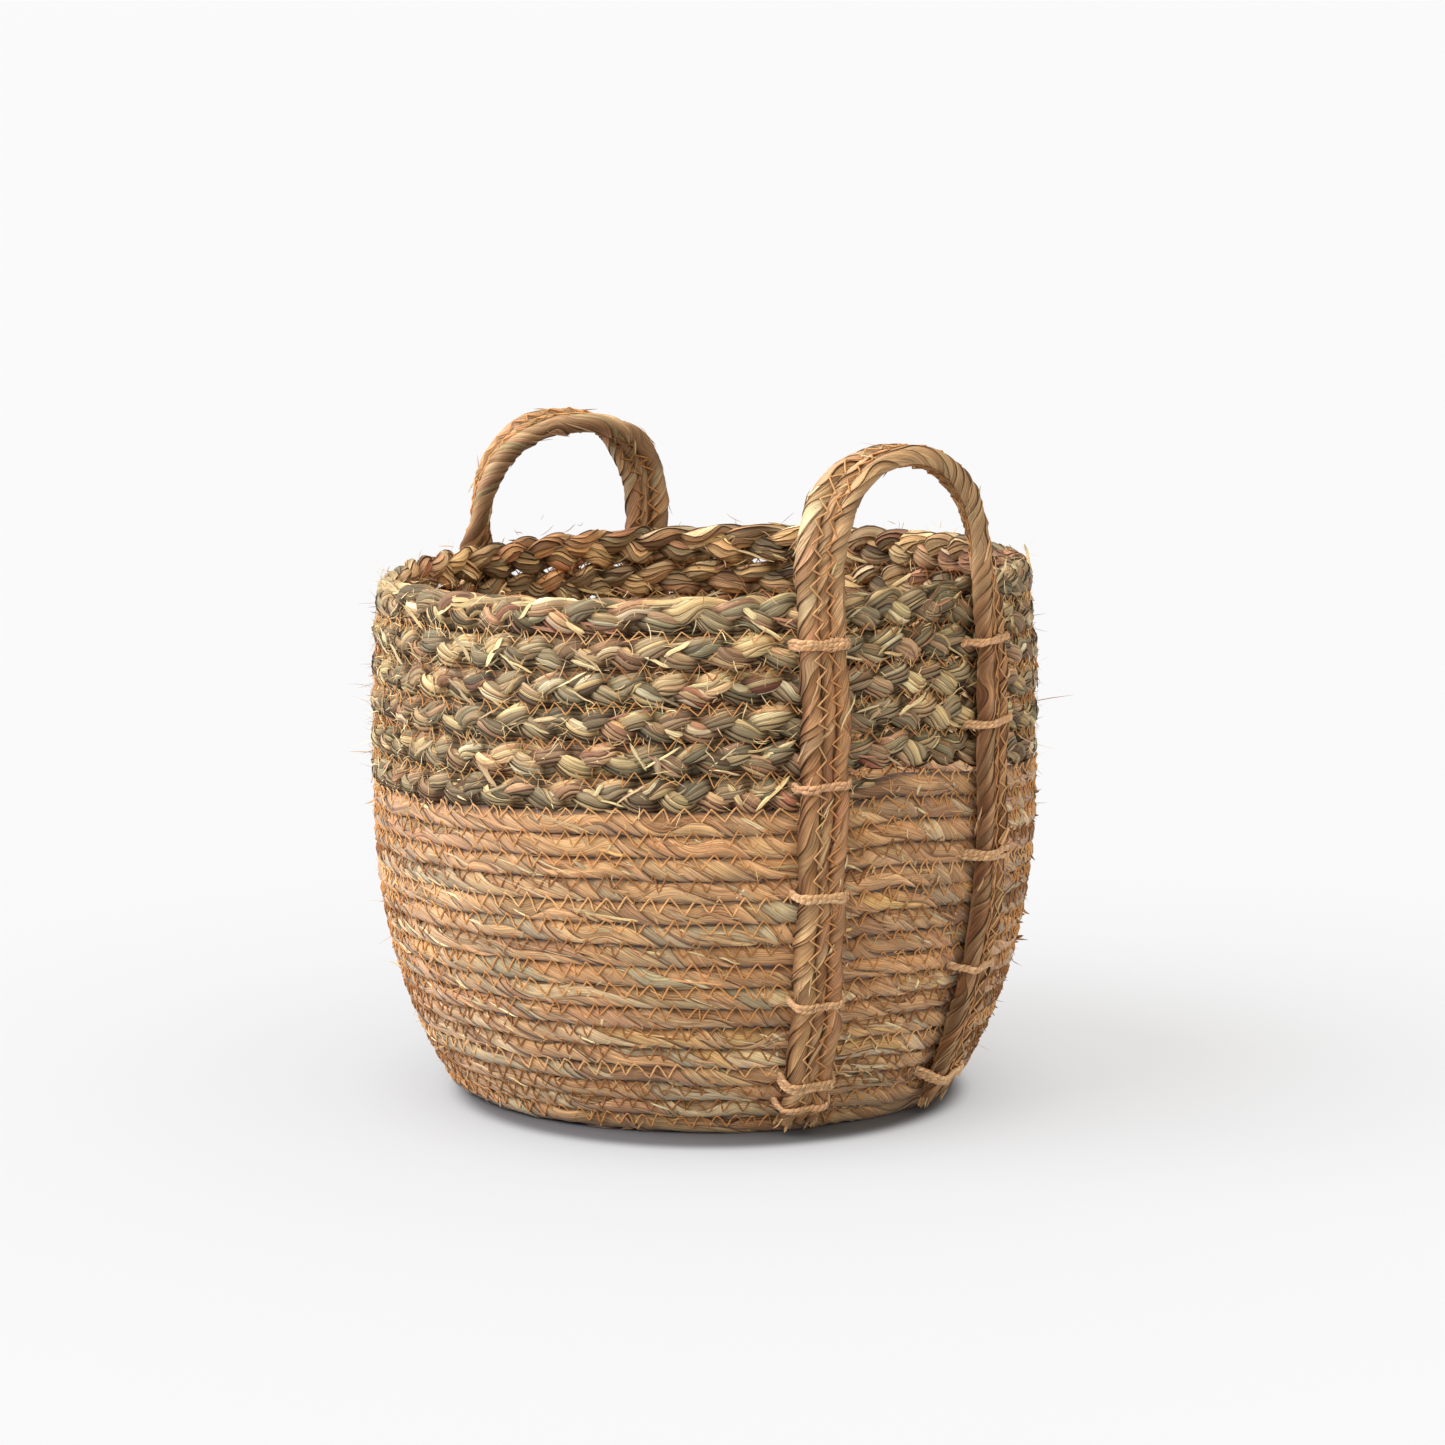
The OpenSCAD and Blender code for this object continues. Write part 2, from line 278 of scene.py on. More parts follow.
def wrapped(rng, s, centre, out, up, half_out, half_up, square, leaves, lengths, palette, twist,
            lift, crown, across=LEAF_V, shade=LEAF_SHADE, tip=16.0, narrow=0.06, uneven=0.32,
            groove_shade=0.0, bundle=None, blend=0.0):
    """A rope whose surface is leaves wound round it. All the arrays run along s.

    groove is painted shade on the faces that lie against the next row, and bundle is a colour along s
    that the leaves share as far as blend says."""
    widths, colours, ends = leaf_lanes(rng, s, leaves, lengths, palette, tip, narrow, uneven)
    if bundle is not None:
        colours = colours * (1 - blend) + bundle * blend
    start = np.concatenate([np.zeros((1, len(s))), np.cumsum(widths, 0)[:-1]])
    n, m = len(s), len(across)
    v = across[None, :, None]
    angle = twist + FULL * (start[:, None] + widths[:, None] * v)
    c, d = np.cos(angle), np.sin(angle)
    radius = (np.abs(c / half_out) ** square + np.abs(d / half_up) ** square) ** (-1 / square)
    lifts = lift * (0.75 + 0.5 * wander(rng, s, 60, (leaves,)))[:, None] * (0.35 + 0.65 * ends[:, None])
    folds = wander(rng, s, 45, (leaves,))[:, None]
    folds = folds * np.sin(FULL * 1.5 * v + rng.uniform(0, 6, (leaves, 1, 1)))
    height = lifts * v + crown * 4 * v * (1 - v) + 0.35 * crown * folds
    r = radius + height
    co = centre[:, None] + (r * c)[..., None].transpose(2, 0, 1, 3).reshape(n, -1, 1) * out[:, None]
    co = co + (r * d).transpose(2, 0, 1).reshape(n, -1, 1) * up[:, None]
    # Painted shade and highlight across each leaf, warmer where it is darker
    tone = colours.transpose(1, 0, 2)[:, :, None, :] * shade[None, None, :, None] ** SHADOW
    tone = tone * (1 + 0.1 * wander(rng, s, 35, (leaves,))).T[:, :, None, None]
    # Painted shade on the faces that lie against the next row
    tone = tone * (1 - groove_shade * smooth((np.abs(d) - 0.5) / 0.5).transpose(2, 0, 1)[..., None])
    grain = np.zeros((n, leaves, m, 3))
    grain[..., 0] = s[:, None, None]
    grain[..., 1] = across * (widths.T[:, :, None] * FULL * 0.5 * (np.mean(half_out) + np.mean(half_up)))
    grain[..., 2] = np.arange(leaves)[:, None] * 11.3 + rng.uniform(0, 50)
    return co, tone.reshape(n, -1, 3), grain.reshape(n, -1, 3)


def add_rope(weave, co, tone, grain):
    """Adds the surface of a wrapped rope with both its ends closed."""
    weave.grid(co[None], tone[None], grain[None], closed=True, flip=True)
    for end in (0, -1):
        ring = co[end]
        cap = np.stack([ring, np.broadcast_to(ring.mean(0), ring.shape)])
        weave.grid(cap[None], tone[end] * 0.6, grain[end], closed=True, flip=end == -1)


# ---- The basket's shape: one rope in a spiral, then one plait ----

# Where both spirals start and end, and where the camera stands, as angles from +X
JOIN = math.radians(-8.3)
FRONT = math.radians(-36.6)
view_dir = np.array([math.cos(FRONT), math.sin(FRONT), 0.0])
view_right = np.array([-math.sin(FRONT), math.cos(FRONT), 0.0])

# How far the turns sit above or below the level rings: (degrees round from the camera's side,
# millimetres at the top of the husk, millimetres at the rim)
SAG = np.array([
    (-180, -12.0, -3.0), (-135, -13.0, -6.0), (-90, -12.8, -9.0), (-45, -5.5, -4.5), (-15, -0.5, -1.0),
    (0, 0.4, -0.4), (22, 0.7, 0.0), (34, 4.0, 0.0), (60, -2.0, 0.0), (90, -8.4, 0.0), (135, -11.0, -1.0),
    (180, -12.0, -3.0),
])


def degrees_round(angle):
    """Degrees round the basket from the camera's side, to the camera's right."""
    return (np.degrees(angle - FRONT) + 180) % 360 - 180


def sag(angle, z):
    """Height change at a world angle and level height."""
    around = degrees_round(angle)
    low = np.interp(around, SAG[:, 0], SAG[:, 1])
    high = np.interp(around, SAG[:, 0], SAG[:, 2])
    share = np.clip((z - HUSK_TOP) / (RIM_Z - HUSK_TOP), 0, 1)
    return np.where(z < HUSK_TOP, low * z / HUSK_TOP, low + (high - low) * share)


def frame_at(angle, radius, z, lean):
    """Points round the basket, with the directions out of and along a wall that leans so much."""
    radial = np.stack([np.cos(angle), np.sin(angle), 0 * angle], -1)
    up, out = rotated(TOP, radial, lean)
    return radius[:, None] * radial + z[:, None] * TOP, out, up


def wall_at(turn, z):
    """Middle of the wall and its directions after so many turns, at height z."""
    return frame_at(JOIN - FULL * turn, wall_radius(z), z, wall_lean(z))


def rope_level(turn):
    """Height of the husk rope's middle after so many turns of the wall."""
    n = turn - 0.25 * smooth(turn / 4)
    above = husk_z[-1] + (n - (HUSK_ROWS - 1)) * HUSK_PITCH
    return np.where(n > HUSK_ROWS - 1, above, np.interp(n, np.arange(HUSK_ROWS), husk_z))


def rope_middle(turn):
    """Angle and middle of the husk rope and its directions, after so many turns of the wall.

    Turns below zero are the flat base, where the direction out of the wall points down."""
    angle = JOIN - FULL * turn
    level = rope_level(np.maximum(turn, 0))
    radius = wall_radius(level) + HUSK_PITCH * np.minimum(turn, 0)
    z = level + sag(angle, level) * (turn > 0) * smooth(turn / 2)
    flat = smooth(-turn / 1.3)
    tip = np.radians(90) * flat + wall_lean(level) * (1 - flat)
    return angle, *frame_at(angle, radius, z, tip)


def husk_top_at(share):
    """Height of the top of the husk rope where the plait lies on it."""
    level = rope_level(HUSK_ROWS - 1 + share)
    return level + HUSK_PITCH / 2 + sag(JOIN - FULL * share, level)


def plait_middle_z(turn):
    """Height of the plait's middle and the height of its row there, after so many turns of it."""
    row = np.minimum(np.floor(turn), PLAIT_ROWS - 1)
    share = turn - row
    rows = PLAIT_ROWS - smooth((share - 0.86) / 0.11)
    angle = JOIN - FULL * share
    rim = RIM_Z + sag(angle, np.full_like(turn, RIM_Z))
    low = husk_top_at(share)
    pitch = (rim - low) / rows
    tail = smooth((turn - (PLAIT_TURNS - PLAIT_TAIL)) / PLAIT_TAIL)
    here = low + (row + 0.5) * pitch - tail * (0.39 * pitch + 2.5)
    low0 = husk_top_at(np.zeros_like(turn))
    rim0 = RIM_Z + sag(JOIN, np.full_like(turn, RIM_Z))
    low1 = husk_top_at(np.full_like(turn, 1.0))
    after = low0 + (row + 1.5) * (rim0 - low0) / PLAIT_ROWS
    before = low1 + (row + 0.5) * (rim0 - low1) / (PLAIT_ROWS - 1)
    return here + (after - before) * smooth((share - 0.8) / 0.2), pitch


# ---- Materials ----

# The two tints of the blotches
WARM, COOL = (1.12, 0.93, 0.80), (0.90, 1.0, 0.86)


def add_node(tree, kind, inputs, **settings):
    """Adds a shader node. Each input gets a value, or a link where an output is given."""
    node = tree.nodes.new("ShaderNode" + kind)
    for key, value in settings.items():
        setattr(node, key, value)
    for key, value in inputs.items():
        if isinstance(value, bpy.types.NodeSocket):
            tree.links.new(value, node.inputs[key])
        else:
            node.inputs[key].default_value = value
    return node


def fibre_material(name, streak=0.3, blotch=0.2, bump=0.3, rough=(0.62, 0.85), fine=2.0, sheen=0.0,
                   fleck=0.0):
    """Dry plant fibre: the vertex colour with fine streaks along the grain and soft blotches."""
    mat = bpy.data.materials.new(name)
    mat.use_nodes = True
    tree = mat.node_tree
    tree.nodes.clear()
    out = add_node(tree, "OutputMaterial", {})
    shader = add_node(tree, "BsdfPrincipled", {"Specular IOR Level": 0.35})
    tree.links.new(shader.outputs[0], out.inputs[0])
    tone = add_node(tree, "Attribute", {}, attribute_name="tone")
    grain = add_node(tree, "Attribute", {}, attribute_name="grain")

    def noise(scale, detail, roughness=0.55):
        place = add_node(tree, "Mapping", {"Scale": scale, "Vector": grain.outputs["Vector"]})
        settings = {"Scale": 1.0, "Detail": detail, "Roughness": roughness, "Vector": place.outputs[0]}
        return add_node(tree, "TexNoise", settings).outputs["Fac"]

    def ramp(fac, low, high, a, b):
        ends = {"From Min": low, "From Max": high, "To Min": a, "To Max": b, "Value": fac}
        return add_node(tree, "MapRange", ends).outputs[0]

    def multiply(colour, factor):
        return add_node(tree, "VectorMath", {0: colour, 1: factor}, operation="MULTIPLY").outputs[0]

    def tinted(fac, *tints):
        low, high = ([1 + (c - 1) * blotch for c in tint] for tint in tints)
        return add_node(tree, "Mix", {6: (*low, 1), 7: (*high, 1), 0: fac}, data_type="RGBA").outputs[2]

    streaks = noise((0.05, fine, 1.0), 4.0, 0.65)
    broad = noise((0.022, 0.5, 1.0), 2.0)
    spots = noise((0.35, 1.6, 1.0), 3.0)
    colour = multiply(tone.outputs["Color"], ramp(streaks, 0.33, 0.67, 1 - streak, 1 + 0.5 * streak))
    colour = multiply(colour, tinted(ramp(broad, 0.35, 0.65, 0.0, 1.0), WARM, COOL))
    if fleck:
        colour = multiply(colour, ramp(spots, 0.30, 0.42, 1 - fleck, 1.0))
    tree.links.new(colour, shader.inputs["Base Color"])
    tree.links.new(ramp(streaks, 0.3, 0.7, rough[1], rough[0]), shader.inputs["Roughness"])
    if sheen:
        shader.inputs["Sheen Weight"].default_value = sheen
        shader.inputs["Sheen Roughness"].default_value = 0.5
    relief = add_node(tree, "Bump", {"Strength": bump, "Distance": 0.0006, "Height": streaks})
    tree.links.new(relief.outputs[0], shader.inputs["Normal"])
    return mat


husk_mat = fibre_material("husk_rope", streak=0.65, blotch=0.22, bump=1.0, fine=2.4, sheen=0.32, fleck=0.25)
plait_mat = fibre_material("seagrass_plait", streak=0.6, blotch=0.3, bump=0.9, fine=2.6, rough=(0.45, 0.75))
thread_mat = fibre_material("sewing_thread")
cord_mat = fibre_material("handle_cord", streak=0.6, blotch=0.25, bump=1.0, fine=2.4, fleck=0.15)
lace_mat = fibre_material("lacing_thread")
twine_mat = fibre_material("jute_twine", streak=0.35, bump=0.6, fine=3.0, sheen=0.15)
hair_mat = fibre_material("loose_fibre", bump=0.2, fine=3.2)

HUSK = [
    (6, 213, 165, 115), (5, 205, 155, 105), (3, 199, 160, 115), (1.2, 194, 172, 134),
    (2.2, 208, 157, 112), (2, 192, 141, 95), (1.3, 230, 197, 151), (0.9, 182, 154, 117),
    (0.5, 230, 182, 116), (0.7, 172, 128, 88),
]
SEAGRASS = [
    (5, 172, 148, 112), (5, 146, 134, 104), (2.4, 192, 158, 116), (2.2, 230, 196, 140),
    (1.8, 250, 220, 160), (1.4, 255, 240, 198), (1.2, 190, 132, 98), (2.4, 108, 80, 52),
    (1.0, 212, 164, 126), (0.35, 150, 66, 50), (1.8, 70, 52, 34),
]
BUNDLE = [
    (5, 154, 142, 112), (3, 176, 152, 118), (1.6, 192, 156, 120), (2.0, 248, 218, 160),
    (1.0, 196, 142, 110), (1.8, 104, 86, 62),
]
CORD = [
    (4, 222, 178, 132), (3, 210, 163, 117), (2, 206, 171, 130), (1.5, 214, 164, 122),
    (1, 184, 138, 96), (0.8, 242, 208, 162),
]
THREAD = [(3, 202, 144, 86), (1.3, 158, 106, 60), (2.0, 224, 172, 116)]
TWINE = [(3, 222, 176, 130), (2, 210, 162, 116), (1, 230, 192, 148)]


# ---- Husk rope: base and lower wall ----

HUSK_STEP = 1.5
HUSK_START = -BASE_TURNS + 0.12
HUSK_END = HUSK_ROWS + 0.02
# Half the height and half the thickness of the rope
HUSK_UP, HUSK_OUT = 4.65, 4.55
# Length over which its leaves go round once
HUSK_TWIST = 74
# Painted shade where the rope lies against its neighbour: how much each of red, green and blue darkens there
HUSK_GROOVE_SHADE = np.array([0.74, 0.81, 0.87])


def turns_along(turns, radius, step):
    """Lengths along a spiral in even steps, and the turn at each, from fine turns and their radius."""
    run = np.concatenate([[0], np.cumsum(np.diff(turns) * FULL * radius[1:])])
    s = np.arange(0, run[-1], step)
    return s, np.interp(s, run, turns)


def husk_rope():
    """Turns along the whole husk rope, and the surface of it."""
    rng = seeded("husk")
    fine = np.linspace(HUSK_START, HUSK_END, 20000)
    flat = wall_radius(husk_z[0]) + HUSK_PITCH * fine
    s, turn = turns_along(fine, np.where(fine < 0, flat, wall_radius(rope_level(fine))), HUSK_STEP)
    angle, centre, out, up = rope_middle(turn)
    below = np.clip(turn - 1, 0, HUSK_ROWS)
    spacing = np.where(turn > 1, rope_level(below + 1) - rope_level(below), 8.6)
    spacing = spacing * (1 + sag(angle, np.full_like(s, HUSK_TOP)) / HUSK_TOP * (turn > 0))
    spacing = spacing / np.cos(np.where(turn > 0.5, wall_lean(rope_level(np.maximum(turn, 0))), 0))
    half_up = np.where(turn < 0, HUSK_PITCH / 2, spacing / 2) + 0.15 + 0.22 * wander(rng, s, 70)
    half_out = np.where(turn < -0.4, 4.6, HUSK_OUT) + 0.3 * wander(rng, s, 55)
    finish = smooth((HUSK_END - turn) / 0.05) * smooth((turn + BASE_TURNS - 0.1) / 0.08)
    half_up = half_up * (0.25 + 0.75 * finish)
    half_out = half_out * (0.25 + 0.75 * finish)
    centre = centre + (0.35 * wander(rng, s, 60))[:, None] * out * (turn > 0)[:, None]
    centre = centre + (0.3 * wander(rng, s, 80))[:, None] * up
    co, tone, grain = wrapped(
        rng, s, centre, out, up, half_out, half_up, square=3.2, leaves=5, lengths=(60, 220), palette=HUSK,
        twist=FULL * s / HUSK_TWIST + 0.8 * wander(rng, s, 90), lift=0.95, crown=0.16,
        tip=26, uneven=0.65, groove_shade=HUSK_GROOVE_SHADE,
    )
    return turn, co, tone, grain


def turn_part(turns, low, high):
    """The stations from one turn to another, with one more so that parts meet."""
    inside = np.nonzero((turns >= low) & (turns < high))[0]
    return slice(inside[0], min(inside[-1] + 2, len(turns)))


husk_turns, co, tone, grain = husk_rope()
for k, node in enumerate(["base_coil"] + [f"husk_turn_{i + 1:02d}" for i in range(HUSK_ROWS)]):
    part = turn_part(husk_turns, k - 1 if k else -math.inf, math.inf if k == HUSK_ROWS else k)
    weave = Weave()
    add_rope(weave, co[part], tone[part], grain[part])
    fixed_piece(weave, node + "_rope", husk_mat, [node])


# ---- Seagrass plait: upper wall ----

# The turns where the plait starts and ends, and how much of the last one tapers
PLAIT_START, PLAIT_TURNS, PLAIT_TAIL = -0.012, 5.965, 0.09
# Its stations, the length over which its strands repeat, and its usual height
PLAIT_STEP, PLAIT_PERIOD, PLAIT_PITCH = 2.0, 56.0, 14.3
# How far a strand swings up and down and dives in and out, and half its height and thickness
STRAND_SWING, STRAND_DEPTH = 3.9, 2.6
STRAND_UP, STRAND_OUT = 3.3, 2.2
SWING_EASE = 0.93
# Painted shade where a strand goes under another: how much each of red, green and blue darkens there
DIVE_SHADE = np.array([0.74, 0.81, 0.88])
# Painted light and shade on the side that faces the inside of the basket: how much each of red, green and
# blue gains there, a painted warm light, and loses again on the right of it, which faces the light, a painted
# shade
INSIDE_WARM_LIGHT = np.array([0.34, 0.16, 0.06])
LIT_SIDE_SHADE = np.array([0.72, 0.6, 0.52])


def plait_rope():
    """Turns along the whole plait, and the surface of each of its strands."""
    rng = seeded("plait")
    fine = np.linspace(PLAIT_START, PLAIT_TURNS, 8000)
    s, turn = turns_along(fine, wall_radius(plait_middle_z(np.maximum(fine, 0.0))[0]), PLAIT_STEP)
    z, pitch = plait_middle_z(np.maximum(turn, 0.0))
    middle, out, up = wall_at(turn, z)
    ends = smooth((turn - PLAIT_START) / 0.05) * smooth((PLAIT_TURNS - turn) / PLAIT_TAIL)
    size = 0.22 + 0.78 * ends
    rim_row = smooth((turn - (PLAIT_ROWS - 1.1)) / 0.1)
    phase = -FULL * s / PLAIT_PERIOD + 0.9 * wander(rng, s, 190)
    middle = middle + (0.6 * wander(rng, s, 70))[:, None] * out
    middle = middle + (0.6 * rim_row + 0.5 * wander(rng, s, 110))[:, None] * up
    scale = pitch / PLAIT_PITCH * size * (1.05 + 0.07 * rim_row)
    strands = []
    for k in range(3):
        theta = phase + FULL * k / 3
        swing = np.arcsin(SWING_EASE * np.sin(theta)) / math.asin(SWING_EASE)
        side = (STRAND_SWING + 0.5 * wander(rng, s, 60)) * swing * scale
        deep = (STRAND_DEPTH + 0.3 * wander(rng, s, 60)) * np.sin(2 * theta) * size
        centre = middle + side[:, None] * up + deep[:, None] * out
        bulge = 0.5 - 0.5 * np.cos(4 * theta)
        half_up = (STRAND_UP + 0.6 * bulge + 0.5 * wander(rng, s, 40)) * scale
        half_out = (STRAND_OUT + 0.3 * bulge + 0.25 * wander(rng, s, 40)) * size
        t = unit(np.gradient(centre, axis=0))
        roll = 0.4 * np.sin(theta)
        face = unit(out - (out * t).sum(-1, keepdims=True) * t)
        side_dir = np.cross(t, face)
        side_dir = side_dir * np.sign((side_dir * up).sum(-1, keepdims=True))
        face, side_dir = rotated(face, side_dir, roll)
        petal = np.floor(theta / math.pi).astype(int)
        petal = petal - petal.min()
        bundle = pick(rng, BUNDLE, petal.max() + 1)[petal]
        light = rng.uniform(0.72, 1.24, petal.max() + 1)[petal][:, None, None]
        co, tone, grain = wrapped(
            rng, s, centre, face, side_dir, half_out, half_up, square=2.5, leaves=9, lengths=(24, 90),
            palette=SEAGRASS, twist=FULL * s / 420 + 0.25 * wander(rng, s, 90) + rng.uniform(0, 6),
            lift=0.8, crown=0.12, across=BLADE_V, shade=BLADE_SHADE, tip=6, narrow=0.12, uneven=0.55,
            bundle=bundle, blend=0.46,
        )
        # Painted shade where a strand goes under another, less of it where the rim row's strands lie free on
        # top
        dive_shade = 1 - smooth(np.abs(np.sin(2 * theta)) / 0.72)
        free = rim_row * smooth(np.sin(theta) * 2)
        tone = tone * light * (1 - DIVE_SHADE * (dive_shade * (1 - 0.8 * free))[:, None, None])
        # Painted warm light on the inside face, and painted shade on the inside face at the right
        inward = smooth(-((co - middle[:, None]) * out[:, None]).sum(-1) / 3.0)
        facing = np.clip(out @ view_right, 0, 1)[:, None, None]
        tone = tone * (1 + (INSIDE_WARM_LIGHT - LIT_SIDE_SHADE * facing) * inward[:, :, None])
        strands.append((co, tone, grain))
    return turn, strands


plait_turns, strands = plait_rope()
for row in range(PLAIT_ROWS):
    part = turn_part(plait_turns, row or -math.inf, row + 1)
    node = f"plait_turn_{row + 1}"
    weave = Weave()
    for co, tone, grain in strands:
        add_rope(weave, co[part], tone[part], grain[part])
    fixed_piece(weave, node + "_strands", plait_mat, [node])


# ---- Zigzag sewing thread ----

# Radii of the threads
HUSK_THREAD, PLAIT_THREAD, LACE_THREAD = 0.41, 0.28, 0.36
# How far the stitches of a seam reach above and below it, and the length of one zigzag of them
HUSK_STITCH = (2.6, 4.3, 8.6)
JOIN_STITCH = (2.6, 3.4, 9.0)
PLAIT_STITCH = (2.5, 3.0, 8.2)
BASE_STITCH = (2.4, 2.4, 8.8)
SEAM_RADIUS = 135.0


def through_corners(along, across, samples):
    """Steps through the corners of a zigzag, and where it is at each step."""
    index = np.arange(len(along))
    step = np.arange(0, len(along) - 1, 1.0 / samples)
    return step, np.interp(step, index, along), np.interp(step, index, across)


def zigzag(rng, turn_from, turn_to, middle_at, stitch, reach, face, samples, rough=0.15):
    """Points of a zigzag along a seam. middle_at gives the seam's middle and directions at turns."""
    above, below, pitch = stitch
    count = int((turn_to - turn_from) * FULL * SEAM_RADIUS / pitch)
    at = np.linspace(turn_from, turn_to, count)
    at = at + (turn_to - turn_from) / count * rng.uniform(-0.22, 0.22, count)
    after = at + 0.5 * (turn_to - turn_from) / count * rng.uniform(0.8, 1.2, count)
    high = above * rng.uniform(0.75, 1.25, count)
    low = -below * rng.uniform(0.75, 1.25, count)
    corners = np.stack([at, after], -1).ravel(), np.stack([high, low], -1).ravel()
    step, turns, offset = through_corners(*corners, samples)
    middle, out, up = middle_at(turns)
    stand = face * (reach(np.abs(offset)) + rough * wander(rng, step, 9.0))
    return middle + offset[:, None] * up + stand[:, None] * out, out


def husk_seam(turns):
    _, a, out_a, up_a = rope_middle(turns)
    _, b, out_b, up_b = rope_middle(turns + 1)
    return (a + b) / 2, unit(out_a + out_b), unit(up_a + up_b)


def plait_seam(turns):
    below, _ = plait_middle_z(np.maximum(turns, 0.0))
    above, _ = plait_middle_z(np.minimum(turns + 1, PLAIT_TURNS))
    return wall_at(turns, (below + above) / 2)


def join_seam(turns):
    """The seam between the husk rope and the first turn of plait."""
    z = husk_top_at(turns)
    return frame_at(JOIN - FULL * turns, wall_radius(z), z, 0 * z)


def base_seam(turns):
    _, a, out, up = rope_middle(turns)
    b = rope_middle(turns + 1)[1]
    return (a + b) / 2, out, up


def thread_piece(name, runs, nodes, sides, radius=HUSK_THREAD):
    weave = Weave()
    rng = seeded(name)
    for path, ref in runs:
        add_tube(weave, path, radius, ref, sides, pick(rng, THREAD, 1))
    fixed_piece(weave, name, thread_mat, nodes)


def husk_reach(offset):
    """How far a thread stands from the middle of the wall, at a distance from its seam."""
    return 4.3 + 1.15 * smooth(offset / 2.6) - 0.35 * smooth((offset - 2.6) / 2.0)


def plait_reach(offset):
    return 3.9 + 1.3 * smooth(offset / 4.0)


def base_reach(offset):
    return 3.9 + 0 * offset


def husk_stitches(rng, face, samples):
    """The threads of all the seams of the husk wall, on its face or its back."""
    rows = range(HUSK_ROWS - 1)
    return [zigzag(rng, k, k + 1, husk_seam, HUSK_STITCH, husk_reach, face, samples) for k in rows]


def plait_stitches(rng):
    runs = []
    for row in range(PLAIT_ROWS - 1):
        last = 0.95 if row == PLAIT_ROWS - 2 else 1.0
        for face in (1, -1):
            runs.append(zigzag(rng, row, row + last, plait_seam, PLAIT_STITCH, plait_reach, face, 4, 0.7))
    return runs


def base_stitches(rng):
    above, below, pitch = BASE_STITCH
    runs = []
    for row in range(-BASE_TURNS + 1, 0):
        ratio = max(0.1, float(wall_radius(husk_z[0]) + HUSK_PITCH * row) / SEAM_RADIUS)
        for face in (1, -1):
            stitch = (above, below, pitch / ratio)
            runs.append(zigzag(rng, row, row + 1, base_seam, stitch, base_reach, face, 3))
    return runs


stitch_rng = seeded("stitches")
outside = husk_stitches(stitch_rng, 1, 4)
outside.append(zigzag(stitch_rng, 0.0, 0.97, join_seam, JOIN_STITCH, husk_reach, 1, 4))
thread_piece("husk_zigzag_thread", outside, ["husk_seam_thread"], 4)
thread_piece("husk_zigzag_thread_inside", husk_stitches(stitch_rng, -1, 3), [], 3)
thread_piece("plait_zigzag_thread", plait_stitches(stitch_rng), ["plait_seam_thread"], 4, PLAIT_THREAD)
thread_piece("base_zigzag_thread", base_stitches(stitch_rng), ["base_seam_thread"], 4)


# ---- Loose strips of leaf and fibre ----

STRAW = [(3, 244, 222, 172), (2, 232, 204, 150), (2, 214, 184, 142), (1.5, 178, 154, 122),
         (1, 196, 142, 114), (0.8, 128, 98, 70), (0.3, 232, 208, 124)]
FUZZ = [(3, 214, 168, 110), (2, 196, 146, 92), (1, 232, 200, 144)]
# How far a strip wavers from side to side, as a share of its length
KINK = 0.02


def blades(rng, count, length, width, lift, bend):
    """Length, width, lift and bend of strips, from two ranges, a gamma spread and a normal spread."""
    ranges = rng.uniform(*length, count), rng.uniform(*width, count)
    return *ranges, rng.gamma(*lift, count), rng.normal(*bend, count)


def loose(weave, rng, place, slope, stand, length, width, lift, bend, palette,
          face=1, stations=6, across=2, curve=0.0):
    """Narrow strips that lie on a surface and lift at one end. Arguments up to bend are per strip.

    place is the middle of the surface and the directions out of it and up, face is -1 for its back,
    slope is the rise from the left of out, and curve bends the strips round the basket."""
    origin, out, up = place
    out = face * out
    curve = face * curve
    count = len(origin)
    side = np.cross(out, up)
    heading, cross = rotated(side, up, slope)
    t = np.linspace(-0.5, 0.5, stations)
    rise = lift[:, None] * np.clip(t + rng.uniform(-0.2, 0.4, count)[:, None], 0, None) ** 2 * 2.2
    drop = stand[:, None] - 0.9 * smooth((-t - 0.25)[None, :] * 4)
    drop = drop - curve * (length[:, None] * t * np.cos(slope)[:, None]) ** 2
    bow = bend[:, None] * (t ** 2)[None, :]
    bow = bow + rng.uniform(-KINK, KINK, (count, 1)) * length[:, None] * np.sin(t * 9)
    path = origin[:, None] + (length[:, None] * t)[..., None] * heading[:, None]
    path = path + (drop + rise)[..., None] * out[:, None] + bow[..., None] * cross[:, None]
    wide, _ = rotated(cross, out, rng.uniform(-0.6, 0.6, count))
    taper = np.sqrt(np.clip(1 - (2 * t) ** 4, 0.03, 1))
    v = np.linspace(-0.5, 0.5, across)
    co = path[:, :, None] + (width[:, None] * taper)[:, :, None, None] * v[:, None] * wide[:, None, None]
    if across > 2:
        co = co + (0.16 * width[:, None, None] * (1 - 4 * v ** 2))[:, :, :, None] * out[:, None, None]
    tone = pick(rng, palette, count)[:, None, None, :]
    grain = np.zeros(co.shape)
    grain[..., 0] = (length[:, None] * t)[:, :, None]
    grain[..., 1] = v * width[:, None, None]
    grain[..., 2] = rng.uniform(0, 90, count)[:, None, None]
    weave.grid(co, tone, grain, flip=True)


# ---- Handles ----

# Half the angle between the legs of a strap
LEG_ANGLE = math.radians(17.2)
